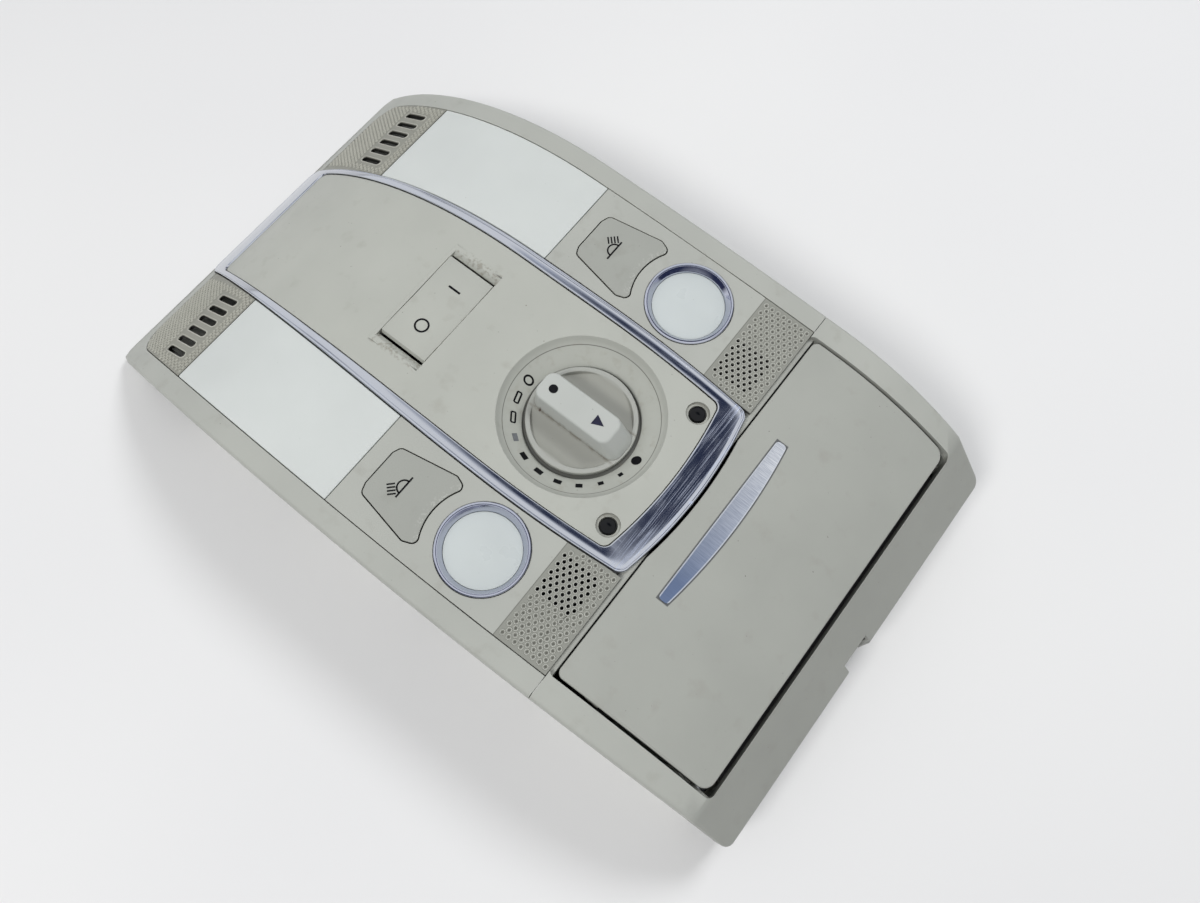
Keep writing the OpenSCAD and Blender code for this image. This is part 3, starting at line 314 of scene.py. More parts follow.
def painted_slot_and_band_shade(n, shade):
    """Painted shade: near black on whatever lies under the vent slots, and a darker steep rear band where
    less light falls.
    """
    drop = n.math("SUBTRACT", n.axis("X"), FRONT_X * MM)
    inner = n.math("SUBTRACT", (FRONT_R * MM) ** 2, n.times(drop, drop))
    face = n.math("ADD", n.math("SQRT", inner), (FACE_Z - FRONT_R) * MM)
    deep = n.rising(n.math("SUBTRACT", face, n.axis("Z")), 0.5, 0.9)
    here = n.times(n.band("X", SLOT_X - SOOT_HALF_X, SLOT_X + SOOT_HALF_X, 0.5),
                   n.window(n.across(), (SOOT_Y0 - 0.5, SOOT_Y0), (SOOT_Y1, SOOT_Y1 + 0.5)))
    # Painted shade: near black on the slot walls and on what lies beneath the slots
    shade = n.tint(shade, (20, 20, 20), deep, here, 0.93)
    # Painted shade: the steep rear band darker, as it faces away from the light
    return n.tint(shade, (122, 123, 117), n.rising(n.axis("X"), BAND_X - 1.0, BAND_X + 2.0, 0.4))


def strip_seat_shade(n, shade):
    """Painted shade: a dark line round the strip, in the gap where it sits in the lid."""
    seat = n.times(n.band("X", STRIP_FRONT_X - 0.45, STRIP_FRONT_X + 20.0, 0.25),
                   n.falling(n.across(), STRIP_HALF + 0.4, STRIP_HALF + 0.7),
                   n.spot(STRIP_CENTRE, 0.0, STRIP_R + 0.7, 0.25))
    return n.tint(shade, (52, 54, 60), seat, 0.8)


def grille_shade_and_line(n, shade):
    """Painted shade on the ground between the grille's rings and on its hole walls, and its fine border
    line.
    """
    # Painted shade: the grille's ground darker between its raised rings
    shade = n.tint(shade, (133, 134, 127), n.band("X", GRILLE_X, FRAME_SEAM_X), 0.9)
    shade = gap_shade(n, shade, 0.5, 0.9)
    return n.tint(shade, (78, 77, 72), n.band("X", GRILLE_X - 0.15, GRILLE_X + 0.15), 0.6)


def knob_dirt_and_shade(n, shade):
    """Painted shade in the finger hollows and on the disc below the grip's top, a dirt line along the grip's
    foot, and a crumb.
    """
    low = n.band("Z", DISC_Z - 2.0, DISC_Z + DISC_T - 0.35, 1.2)
    # Painted shade: the low parts of the finger hollows darker
    shade = n.tint(shade, (120, 119, 109), low, n.spot(KNOB_X, 0.0, DISC_R - RIM_W + 0.4, 0.6), 0.4)
    near_foot = (GRIP_FOOT_Y - 0.5, GRIP_FOOT_Y), (GRIP_FOOT_Y + 0.2, GRIP_FOOT_Y + 1.2)
    foot = n.times(n.window(n.across(), *near_foot), n.ramp(n.noise(2.2, 5.0), 0.42, 0.6, 0.1, 0.6))
    shade = n.tint(shade, (92, 82, 66), foot, n.band("Z", DISC_Z + 0.3, DISC_Z + 4.7, 0.5))
    # Painted shade: the disc darker than the grip's top, lower down
    disc = n.band("Z", DISC_Z - 8.7, DISC_Z + DISC_T + 0.3, 0.5)
    shade = n.tint(shade, (128, 126, 116), disc, 0.38)
    return n.tint(shade, (64, 40, 28), n.spot(*KNOB_CRUMB, 0.7, 0.35), 0.9)


def button_scuffs_and_shade(n, shade):
    """Scuffs beside the button's concave edge, the slope of its hollow, and painted shade in its gap."""
    away = n.away(READ_X, READ_Y, both_sides=True)
    shade = n.tint(shade, (196, 198, 192), n.falling(away, BUTTON_NEAR_R + 2.5, BUTTON_FAR_R - 1.5),
                   n.ramp(n.noise(1.1, 4.0), 0.55, 0.62, 0.0, 0.45))
    n.hollow = n.rising(away, BUTTON_NEAR_R, BUTTON_FAR_R)
    # Painted shade on the walls of the gap round the button
    return gap_shade(n, shade, 0.15, 0.85)


# Finishes
def moulded_plastic(name, colour, dirt, grime_and_shade_amount, grain_mm=0.35, grain_depth=0.02, rough=0.5, wear_and_shade=None):
    """Grained moulded plastic: faint mottling, dark specks, and dirt with painted shade in its creases."""
    n = Nodes(name)
    base = linear(colour)
    shade = n.mix(n.ramp(n.noise(38.0, 4.0), 0.35, 0.7), base, toned(base, 0.93))
    shade = n.tint(shade, dirt, n.ramp(n.noise(9.0, 6.0), 0.6, 0.85, 0.0, 0.22))
    # Painted shade and dirt: the dirt colour laid in corners and creases that ambient occlusion finds shut
    # in
    grime_and_shade = n.times(n.ramp(n.crease(1.6), 0.25, 0.8, 1.0, 0.0), n.ramp(n.noise(2.4), 0.3, 0.65))
    shade = n.tint(shade, dirt, grime_and_shade, grime_and_shade_amount)
    speck = n.ramp(n.noise(1.3, 1.0), 0.79, 0.82, 0.0, 0.55)
    shade = n.tint(shade, tuple(0.5 * c for c in dirt), speck)
    if wear_and_shade:
        shade = wear_and_shade(n, shade)
    n.link(shade, "Base Color")
    n.link(n.ramp(n.noise(14.0, 5.0), 0.3, 0.75, rough - 0.06, rough + 0.08), "Roughness")
    grain = n.bump(n.noise(grain_mm, 2.0), 0.5, grain_depth)
    if n.hollow is not None:
        grain = n.bump(n.hollow, 0.6, 0.7, Normal=grain)
    n.link(grain, "Normal")
    n.set(IOR=1.47)
    return n.material


def chrome_finish(name, colour, scratch_amount, rough=0.09, rear=False):
    """Plated trim with smudges and fine scratches; the rear bar can carry many more, four ways."""
    n = Nodes(name)
    lines = n.streaks(n.mapped((28.0, 900.0, 900.0)), 4.0, 0.6)
    scratch = n.ramp(lines, 0.6, 0.66, 0.0, scratch_amount)
    if rear:
        worn = 0.0
        for angle, seed in ((-9, 0.0), (1, 3.0), (12, 7.0), (24, 11.0)):
            fan = n.mapped((2300.0, 26.0, 0.0), Location=(seed, seed, 0.0),
                           Rotation=(0.0, 0.0, math.radians(angle)))
            worn = n.math("MAXIMUM", n.ramp(n.streaks(fan, 1.0), 0.625, 0.68), worn)
        here = n.band("X", CHROME_REAR_X - CHROME_REAR_W, CHROME_REAR_X + 1.0, 1.0)
        scratch = n.math("ADD", n.times(worn, 0.7, here), n.times(scratch, n.math("SUBTRACT", 1.0, here)))
        chip = n.times(n.spot(*CHROME_CHIP, 1.3, 0.7), n.ramp(n.noise(0.7, 3.0), 0.42, 0.55))
        scratch = n.math("MAXIMUM", scratch, chip)
    smudge = n.ramp(n.noise(7.0, 5.0), 0.4, 0.8, rough, rough + 0.07)
    n.link(n.mix(scratch, linear(colour), (0.62, 0.68, 0.84, 1.0)), "Base Color")
    n.link(n.math("ADD", smudge, n.times(scratch, 0.12)), "Roughness")
    n.link(n.bump(lines, 0.2 * scratch_amount + 0.02, 0.01), "Normal")
    n.link(n.ramp(scratch, 0.0, 1.0, 1.0, 0.7), "Metallic")
    return n.material


def brushed_finish(name):
    """Aluminium brushed across the console, with a painted reflection from dark blue at one end to near
    white at the other, and painted highlights on its rims.
    """
    n = Nodes(name)
    lines = n.streaks(n.mapped((160.0, 4200.0, 160.0)), 3.0)
    # Painted reflection: dark blue at one end brightening to near white at the other
    tone = n.tint(linear((122, 138, 170)), (246, 248, 251), n.rising(n.axis("Y"), -32.0, 32.0))
    tone = n.tint(tone, (112, 126, 150), n.ramp(lines, 0.38, 0.62, 0.0, 0.4))
    # Painted highlights along the front and rear rims
    front = n.band("X", STRIP_FRONT_X - 1.0, STRIP_FRONT_X + 0.5, 0.15)
    rear = n.math("SUBTRACT", 1.0, n.spot(STRIP_CENTRE, 0.0, STRIP_R - 0.45, 0.15))
    n.link(n.tint(tone, (232, 235, 240), n.math("MAXIMUM", front, rear), 0.7), "Base Color")
    n.link(n.ramp(lines, 0.3, 0.7, 0.34, 0.46), "Roughness")
    n.link(n.bump(lines, 0.12, 0.01), "Normal")
    n.set(Metallic=1.0)
    return n.material


def milky_finish(name, colour, rough):
    """Opal diffuser: soft, slightly uneven white with light below its surface, and painted shade in its
    creases.
    """
    n = Nodes(name)
    base = linear(colour)
    shade = n.mix(n.ramp(n.noise(45.0, 3.0), 0.3, 0.75), base, toned(base, 1.07))
    # Painted shade: greyer in corners and creases that ambient occlusion finds shut in
    shade = n.tint(shade, (150, 158, 150), n.ramp(n.crease(3.0), 0.3, 0.85, 0.35, 0.0))
    speck = n.ramp(n.noise(1.6, 1.0), 0.8, 0.83, 0.0, 0.3)
    n.link(n.tint(shade, (120, 120, 110), speck), "Base Color")
    n.link(n.ramp(n.noise(20.0, 4.0), 0.3, 0.7, rough - 0.04, rough + 0.05), "Roughness")
    n.link(n.bump(n.noise(0.5, 2.0), 0.2, 0.01), "Normal")
    n.set(IOR=1.49, Subsurface_Weight=0.12, Subsurface_Radius=(1.0, 1.0, 0.9), Subsurface_Scale=0.002)
    return n.material


def plain_finish(name, colour, second, size_mm, rough, metallic=0.0, grain=0.02, specular=0.5):
    """Two close tones in a noise, for prints and for pieces that mostly stay out of sight."""
    n = Nodes(name)
    n.link(n.tint(linear(colour), second, n.ramp(n.noise(size_mm, 4.0), 0.35, 0.65)), "Base Color")
    n.link(n.ramp(n.noise(size_mm * 0.6, 3.0), 0.3, 0.7, rough - 0.05, rough + 0.07), "Roughness")
    n.link(n.bump(n.noise(0.4, 2.0), 0.3, grain), "Normal")
    n.set(Metallic=metallic, Specular_IOR_Level=specular)
    return n.material


def glass_finish(name):
    n = Nodes(name)
    n.link(n.tint(linear((240, 244, 248)), (228, 234, 240), n.ramp(n.noise(5.0), 0.4, 0.7)), "Base Color")
    n.link(n.ramp(n.noise(3.0), 0.3, 0.7, 0.02, 0.08), "Roughness")
    n.set(IOR=1.5, Transmission_Weight=0.9)
    return n.material


CENTRE_TONE, CENTRE_DIRT = (174, 176, 169), (104, 92, 74)
COVER = moulded_plastic("cover plastic", (169, 171, 165), (112, 104, 90), 0.45, wear_and_shade=painted_slot_and_band_shade)
LID = moulded_plastic("lid plastic", (160, 162, 156), (120, 112, 98), 0.4, wear_and_shade=strip_seat_shade)
PANEL = moulded_plastic("centre plastic", CENTRE_TONE, CENTRE_DIRT, 0.75, rough=0.46)
DISHED = moulded_plastic("dished plastic", CENTRE_TONE, CENTRE_DIRT, 0.75, rough=0.46, wear_and_shade=dish_dirt_and_shade)
SWITCHED = moulded_plastic("switch panel plastic", (170, 172, 166), (100, 92, 78), 0.6, wear_and_shade=grille_shade_and_line)
BUTTON = moulded_plastic("button plastic", (157, 159, 153), (98, 90, 74), 0.7, rough=0.42, wear_and_shade=button_scuffs_and_shade)
GRAINED = moulded_plastic("grained plastic", (138, 138, 129), (88, 84, 72), 0.8, wear_and_shade=painted_slot_and_band_shade)
# Painted shade: the colour of the flat discs laid in the grille's ring hollows
HOLLOW = plain_finish("grille hollow", (98, 98, 92), (84, 84, 78), 1.0, 0.6)
BEADED = moulded_plastic("bead plastic", (170, 170, 161), (110, 106, 94), 0.6)
# Painted highlight: the grille rings lighter than the panel plastic they are moulded in, as if lit on their
# raised tops
LIT_RING_PLASTIC = moulded_plastic("lit ring plastic", (186, 187, 180), (110, 108, 98), 0.5)
KNOB_PLASTIC = moulded_plastic("knob plastic", (181, 184, 180), (96, 88, 72), 0.7,
                               rough=0.34, grain_mm=0.8, grain_depth=0.008, wear_and_shade=knob_dirt_and_shade)
MILK = milky_finish("milk lens", (195, 199, 197), 0.42)
READ_MILK = milky_finish("reading lens milk", (188, 194, 194), 0.3)
CHROME = chrome_finish("chrome trim", (200, 203, 210), 0.35, rear=True)
RING_CHROME = chrome_finish("ring chrome", (192, 195, 208), 0.2, rough=0.06)
BRUSHED = brushed_finish("brushed aluminium")
PRINT = plain_finish("printed black", (9, 9, 12), (15, 15, 19), 1.5, 0.6, specular=0.2)
PRINT_BLUE = plain_finish("printed blue black", (20, 20, 48), (16, 16, 38), 1.5, 0.5)
PRINT_GREY = plain_finish("printed grey", (112, 115, 118), (100, 102, 106), 1.5, 0.45)
BLACK = plain_finish("black plastic", (24, 25, 27), (34, 35, 37), 4.0, 0.4)
GLOSS_BLACK = plain_finish("sensor black", (7, 8, 10), (11, 12, 15), 2.0, 0.1, grain=0.002, specular=0.25)
WHITE = plain_finish("white plastic", (228, 228, 222), (218, 218, 210), 18.0, 0.5)
STEEL = plain_finish("spring steel", (190, 192, 196), (160, 162, 168), 3.0, 0.3, metallic=1.0)
BOARD = plain_finish("board lacquer", (30, 92, 54), (24, 80, 46), 6.0, 0.35)
FOAM = plain_finish("foam", (22, 22, 23), (34, 34, 35), 0.8, 0.95, grain=0.2)
FELT = plain_finish("felt", (52, 52, 55), (38, 38, 41), 0.6, 0.98, grain=0.15)
BULB = glass_finish("bulb glass")


# Mesh helpers
def finish_object(name, mesh, material, body, replaced=(), angle=32.0):
    """Makes a piece of a mesh: material, shading, body and the nodes it stands for."""
    piece = bpy.data.objects.new(name, mesh)
    scene.collection.objects.link(piece)
    if not mesh.materials:
        mesh.materials.append(material)
    for polygon in mesh.polygons:
        polygon.use_smooth = True
    mesh.set_sharp_from_angle(angle=math.radians(angle))
    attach(piece, body)
    if replaced:
        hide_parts(*replaced)
    return piece


def mesh_of(name, shape):
    """A mesh from millimetre points and faces."""
    verts, faces = shape
    mesh = bpy.data.meshes.new(name)
    mesh.from_pydata([(x * MM, y * MM, z * MM) for x, y, z in verts], [], faces)
    mesh.validate()
    mesh.update()
    return mesh


def add_piece(name, shape, material, body, replaced=(), angle=32.0):
    finish_object(name, mesh_of(name, shape), material, body, replaced, angle)


MERGE_MM, FLAT_ANGLE, EDGE_ANGLE = 0.002, math.radians(0.6), math.radians(38)
WIDE_RADIUS, WIDE_SEGMENTS = 1.0, 5


def refined(node, material, body="console", soft=0.35, rim=None, segments=2):
    """The node's own form with its sharp edges rounded; rim(edge) may give an edge its own radius."""
    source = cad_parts[node]
    bm = bmesh.new()
    bm.from_mesh(source.data)
    bm.transform(Matrix.Scale(1.0 / MM, 4))
    bmesh.ops.remove_doubles(bm, verts=bm.verts, dist=MERGE_MM)
    bmesh.ops.dissolve_limit(bm, angle_limit=FLAT_ANGLE, verts=bm.verts, edges=bm.edges, delimit=set())
    groups = {}
    for edge in bm.edges:
        if len(edge.link_faces) != 2 or edge.calc_face_angle(0.0) < EDGE_ANGLE or not edge.is_convex:
            continue
        radius = rim(edge) if rim else None
        radius = soft if radius is None else radius
        if radius > 0:
            groups.setdefault(radius, []).append(edge)
    for radius in sorted(groups, reverse=True):
        edges = [e for e in groups[radius] if e.is_valid]
        bmesh.ops.bevel(
            bm, geom=edges, offset=radius, offset_type="OFFSET",
            segments=segments if radius < WIDE_RADIUS else WIDE_SEGMENTS, profile=0.5,
            affect="EDGES", clamp_overlap=False, miter_outer="SHARP", loop_slide=True,
        )
    low = [min(c[i] for c in source.bound_box) / MM for i in range(3)]
    high = [max(c[i] for c in source.bound_box) / MM for i in range(3)]
    for vert in bm.verts:
        for i in range(3):
            vert.co[i] = min(max(vert.co[i], low[i]), high[i])
    bm.transform(Matrix.Scale(MM, 4))
    mesh = bpy.data.meshes.new(node + "_look")
    bm.to_mesh(mesh)
    bm.free()
    piece = finish_object(node + "_look", mesh, material, body, (node,))
    weighted = piece.modifiers.new("even shading", "WEIGHTED_NORMAL")
    weighted.keep_sharp = True


def circle(x, y, r, count=32):
    """Points round a circle."""
    return [
        (x + r * math.cos(2 * math.pi * k / count), y + r * math.sin(2 * math.pi * k / count))
        for k in range(count)
    ]


def arc(x, y, r, start, end, steps):
    """Points along an arc with both its ends, angles in degrees."""
    angles = [math.radians(start + (end - start) * k / steps) for k in range(steps + 1)]
    return [(x + r * math.cos(a), y + r * math.sin(a)) for a in angles]


def joined(parts):
    """One vertex and face list from several."""
    verts, faces = [], []
    for part_verts, part_faces in parts:
        start = len(verts)
        verts += part_verts
        faces += [tuple(start + i for i in face) for face in part_faces]
    return verts, faces


def lofted(rings, cap_low=True, cap_high=True):
    """Vertices and faces of a stack of rings with equal counts."""
    count = len(rings[0])
    verts = [p for ring in rings for p in ring]
    faces = []
    for i in range(len(rings) - 1):
        for k in range(count):
            a, b = i * count + k, i * count + (k + 1) % count
            faces.append((a, b, b + count, a + count))
    if cap_low:
        faces.append(tuple(reversed(range(count))))
    if cap_high:
        faces.append(tuple(range((len(rings) - 1) * count, len(rings) * count)))
    return verts, faces


def revolved(points, centre, count=96):
    """Vertices and faces of a profile of (radius, z) points turned about an upright axis."""
    rings = [[(x, y, z) for x, y in circle(*centre, r, count)] for r, z in points]
    return lofted(rings, False, False)


PRINT_T = 0.07


def decal(outline, height, lift=PRINT_T):
    """A thin printed patch: the outline (mm, seen from above) laid on a height function."""
    count = len(outline)
    top = [(x, y, height(x, y) + lift) for x, y in outline]
    low = [(x, y, height(x, y) + lift - PRINT_T) for x, y in outline]
    faces = [tuple(range(count)), tuple(reversed(range(count, 2 * count)))]
    faces += [(k, k + count, (k + 1) % count + count, (k + 1) % count) for k in range(count)]
    return top + low, faces


def ring_decal(x, y, r_out, r_in, height, lift=PRINT_T, count=40):
    """A printed ring."""
    verts, faces = [], []
    for offset in (lift, lift - PRINT_T):
        for r in (r_out, r_in):
            verts += [(px, py, height(px, py) + offset) for px, py in circle(x, y, r, count)]
    for k in range(count):
        j = (k + 1) % count
        faces.append((k, j, count + j, count + k))
        faces.append((2 * count + k, 3 * count + k, 3 * count + j, 2 * count + j))
        faces.append((k, 2 * count + k, 2 * count + j, j))
        faces.append((count + k, count + j, 3 * count + j, 3 * count + k))
    return verts, faces


def bar_outline(a, b, width):
    """A straight stroke from a to b."""
    ax, ay = a
    bx, by = b
    length = math.hypot(bx - ax, by - ay)
    nx, ny = -(by - ay) / length * width / 2, (bx - ax) / length * width / 2
    return [(ax - nx, ay - ny), (bx - nx, by - ny), (bx + nx, by + ny), (ax + nx, ay + ny)]


# Camera at the photograph's place
CAMERA_PLACE = Vector((110.5, -108.9, 433.2)) * MM
CAMERA_LOOK = Vector((-0.17256, 0.26164, -0.94962))
CAMERA_RIGHT = Vector((0.78796, 0.61518, 0.02631))
FOCAL_PIXELS, IMAGE_WIDTH, SENSOR_WIDTH = 950.0, 1200.0, 36.0


def add_camera():
    data = bpy.data.cameras.new("photo camera")
    data.sensor_fit = "HORIZONTAL"
    data.sensor_width = SENSOR_WIDTH
    data.lens = FOCAL_PIXELS / IMAGE_WIDTH * SENSOR_WIDTH
    camera = bpy.data.objects.new("photo camera", data)
    scene.collection.objects.link(camera)
    look = CAMERA_LOOK.normalized()
    right = (CAMERA_RIGHT - look * CAMERA_RIGHT.dot(look)).normalized()
    up = right.cross(look)
    turn = Matrix((right, up, -look)).transposed().to_4x4()
    camera.matrix_world = Matrix.Translation(CAMERA_PLACE) @ turn
    data.clip_start = 0.01
    scene.camera = camera


# Floor, light and world, in metres
BACKDROP = (230, 231, 232)
FLOOR_HALF, FLOOR_FADE = 6.0, (0.55, 1.3)
DARK_PATCH = {"x": -0.08, "y": 0.30, "half_x": 0.22, "half_y": 0.10}
WORLD_STRENGTH = 0.46
HORIZON_Z = (0.24, 0.44)
BRIGHT_FRONT_X = (-0.7, -0.85)


def add_stage():
    """Pale table that fades to the backdrop's colour far from the console."""
    mesh = bpy.data.meshes.new("floor")
    mesh.from_pydata(
        [(FLOOR_HALF * x, FLOOR_HALF * y, 0) for x, y in ((-1, -1), (1, -1), (1, 1), (-1, 1))],
        [], [(0, 1, 2, 3)],
    )
    floor = bpy.data.objects.new("floor", mesh)
    scene.collection.objects.link(floor)
    n = Nodes("pale table")
    n.link(n.tint(linear((228, 228, 228)), (222, 222, 223), n.ramp(n.noise(420.0, 2.0), 0.35, 0.7)),
           "Base Color")
    n.set(Roughness=0.7)
    away = n.add("ShaderNodeVectorMath", {0: n.place}, operation="LENGTH").outputs["Value"]
    seen = n.add("ShaderNodeLightPath").outputs["Is Camera Ray"]
    fade = n.times(n.ramp(away, *FLOOR_FADE), seen)
    pale = n.add("ShaderNodeEmission", {"Color": linear(BACKDROP)}).outputs[0]
    mixed = n.add("ShaderNodeMixShader", {0: fade, 1: n.shader.outputs[0], 2: pale}).outputs[0]
    n.tree.links.new(mixed, n.tree.nodes["Material Output"].inputs["Surface"])
    mesh.materials.append(n.material)


def add_area(name, place, size, power, colour):
    """A disc light that points at the console."""
    data = bpy.data.lights.new(name, "AREA")
    data.shape = "DISK"
    data.size = size
    data.energy = power
    data.color = colour
    lamp = bpy.data.objects.new(name, data)
    scene.collection.objects.link(lamp)
    lamp.location = place
    lamp.rotation_euler = Vector(place).to_track_quat("Z", "Y").to_euler()
    lamp.visible_glossy = False


def add_world():
    """Even light from all round; metal sees a pale room with a dark ceiling patch overhead."""
    world = bpy.data.worlds.new("studio")
    scene.world = world
    world.use_nodes = True
    world.node_tree.nodes.clear()
    t = Tree(world.node_tree)
    ray = t.add("ShaderNodeLightPath").outputs
    direction = t.add("ShaderNodeTexCoord").outputs["Generated"]
    x, y, z = t.add("ShaderNodeSeparateXYZ", {0: direction}).outputs

    along = t.math("DIVIDE", t.math("SUBTRACT", x, DARK_PATCH["x"]), DARK_PATCH["half_x"])
    across = t.math("DIVIDE", t.math("SUBTRACT", y, DARK_PATCH["y"]), DARK_PATCH["half_y"])
    ceiling = t.add("ShaderNodeValToRGB", {"Fac": t.times(t.length(along, across), 0.25)})
    stops = ceiling.color_ramp.elements
    stops[0].position, stops[0].color = 0.20, (0.030, 0.040, 0.080, 1.0)
    stops[1].position, stops[1].color = 0.42, (0.88, 0.895, 0.92, 1.0)
    middle = stops.new(0.30)
    middle.color = (0.46, 0.49, 0.565, 1.0)
    lit = t.math("MAXIMUM", t.ramp(z, *HORIZON_Z), t.ramp(x, *BRIGHT_FRONT_X))
    room = t.mix(lit, (0.030, 0.038, 0.085, 1.0), ceiling.outputs["Color"])

    rearward = t.math("ADD", t.times(x, 0.5), 0.5)
    fall = t.mix(rearward, (1.22, 1.235, 1.26, 1.0), (0.72, 0.725, 0.74, 1.0))
    seen = t.add("ShaderNodeBackground", {"Color": room}).outputs[0]
    even = t.add("ShaderNodeBackground", {"Color": fall, "Strength": WORLD_STRENGTH}).outputs[0]
    back = t.add("ShaderNodeBackground", {"Color": linear(BACKDROP)}).outputs[0]
    glossy = t.add("ShaderNodeMixShader", {0: ray["Is Glossy Ray"], 1: even, 2: seen}).outputs[0]
    direct = t.math("MAXIMUM", ray["Is Camera Ray"], ray["Is Transmission Ray"])
    final = t.add("ShaderNodeMixShader", {0: direct, 1: glossy, 2: back}).outputs[0]
    t.add("ShaderNodeOutputWorld", {"Surface": final})


# Frames and panels
def outer_rim(edge):
    """Large radius on the console's outer top edge, None elsewhere."""
    x, y, z = (edge.verts[0].co + edge.verts[1].co) / 2
    near_side = abs(abs(y) - side_y(x)) < 0.5
    near_end = abs(x) > END_X or (abs(abs(x) - CORNER_X) < 3.5 and abs(y) > CORNER_Y)
    on_top = abs(z - banded_face_z(x)) < 0.7
    if (near_side or near_end) and on_top:
        return RIM_RADIUS if x > NOSE_X else NOSE_RIM_RADIUS
    return None


def ring_bead(cx, cy, rx, ry, tube, rise, around=14, section=5):
    """A low oval ring raised from the face, its foot sunk into it."""
    verts, faces = [], []
    centre = Vector((cx, cy, face_z(cx)))
    normal = face_normal(cx)
    along = Vector((normal.z, 0.0, -normal.x))
    across = Vector((0.0, 1.0, 0.0))
    for k in range(around):
        a = 2 * math.pi * k / around
        out = along * math.cos(a) + across * math.sin(a)
        base = centre + along * rx * math.cos(a) + across * ry * math.sin(a)
        for s in range(section):
            t = math.pi * s / (section - 1)
            foot = 0.1 if s in (0, section - 1) else 0.0
            verts.append(tuple(base + out * tube * math.cos(t) + normal * (rise * math.sin(t) - foot)))
    for k in range(around):
        j = (k + 1) % around
        for s in range(section - 1):
            faces.append((k * section + s, j * section + s, j * section + s + 1, k * section + s + 1))
    return verts, faces


def grille_places():
    """Row, column and place of each ring on the microphone grille's staggered grid."""
    for i in range(-1, 17):
        x = HOLE_X0 + HOLE_STEP_X * i
        if x < GRILLE_X + 1.2 or x > FRAME_SEAM_X - GRILLE_MARGIN:
            continue
        for j in range(-2, 22):
            y = HOLE_Y0 + HOLE_STEP_Y * j
            if (i + j) % 2 == 0 and chrome_y(x) + GRILLE_MARGIN <= y <= seam_y(x) - GRILLE_MARGIN:
                yield i, j, x, y


def grille_rings(side):
    """Raised rings over the microphone grille, on the same grid as its holes."""
    return joined([
        ring_bead(x, side * y, rx=0.92, ry=1.02, tube=0.24, rise=0.42) for _, _, x, y in grille_places()
    ])


def grille_pit_shade(side):
    """Painted shade: dark discs in the hollows of the rings that carry no hole, and dark rings round the
    holes' edges.
    """
    pits, mouths = [], []
    for i, j, x, y in grille_places():
        if 0 <= i < HOLE_ROWS and 0 <= j < HOLE_COLUMNS:
            mouths.append(ring_decal(x, side * y, 0.86, 0.62, level(FACE_Z), lift=0.05, count=14))
        else:
            pits.append(decal(circle(x, side * y, 0.5, 10), level(FACE_Z), lift=0.05))
    return joined(pits), joined(mouths)


def weave_rings(side):
    """The finer oval weave of the vent panels, left out round the slots."""
    parts = []
    slots_low, slots_high = SLOT_Y - SLOT_CLEAR_Y, SLOT_Y + (SLOTS - 1) * SLOT_STEP + SLOT_CLEAR_Y
    corner_x, corner_y = VENT_X0 + PANEL_CORNER, seam_y(VENT_X0 + PANEL_CORNER) - PANEL_CORNER
    row, x = 0, VENT_X0 + 1.1
    while x < LENS_X0 - 1.0:
        row += 1
        y = 40.0 + (row % 2) * WEAVE_Y / 2
        while y < 90:
            y += WEAVE_Y
            inside = chrome_y(x) + 1.0 < y < seam_y(x) - 1.0
            if x < corner_x and y > corner_y:
                inside = inside and math.hypot(x - corner_x, y - corner_y) < PANEL_CORNER - 0.9
            near_slots = slots_low < y < slots_high and abs(x - SLOT_X) < SLOT_CLEAR_X
            if inside and not near_slots:
                parts.append(ring_bead(x, side * y, rx=0.42, ry=0.72, tube=0.24, rise=0.34, around=10))
        x += WEAVE_X
    return joined(parts)


LIP_SECTION = ((0.45, -0.1), (0.35, 0.1), (0.15, 0.2), (-0.1, 0.16), (-0.22, -0.3))


def slot_lips(side):
    """Raised lips round the vent slots."""
    parts = []
    slant = math.radians(SLOT_SLANT) * side
    for i in range(SLOTS):
        middle_y = side * (SLOT_Y + SLOT_STEP * i)
        rings = []
        for grow, lift in LIP_SECTION:
            ring = []
            for u, v in circle(0.0, 0.0, SLOT_R + grow, 40):
                u += math.copysign(SLOT_REACH, u)
                ring.append(on_face(SLOT_X + u * math.cos(slant) - v * math.sin(slant),
                                    middle_y + u * math.sin(slant) + v * math.cos(slant), lift))
            rings.append(ring)
        parts.append(lofted(rings, False, False))
    return joined(parts)


def chrome_loop(front_x, rear_x, half_at, corner):
    """Outline of the chrome frame: bowed sides, straight front, rounded corners and a bowed rear."""
    def rear_at(y):
        return rear_x - CHROME_REAR_R + math.sqrt(CHROME_REAR_R ** 2 - y * y)

    cx, cy = front_x + corner, half_at(front_x + corner) - corner
    rx, ry = rear_x - corner, 0.0
    for _ in range(12):
        ry = half_at(rx) - corner
        rx = rear_at(ry) - corner
    side = [(x, half_at(x)) for x in (cx + (rx - cx) * k / 96 for k in range(1, 96))]
    loop = [(front_x, -cy + 2 * cy * k / 28) for k in range(1, 28)]
    loop += arc(cx, cy, corner, 180, 90, 9) + side + arc(rx, ry, corner, 90, 0, 9)
    loop += [(rear_at(y), y) for y in (ry - 2 * ry * k / 40 for k in range(1, 40))]
    loop += arc(rx, -ry, corner, 0, -90, 9)
    loop += [(x, -y) for x, y in reversed(side)]
    return loop + arc(cx, -cy, corner, -90, -180, 9)


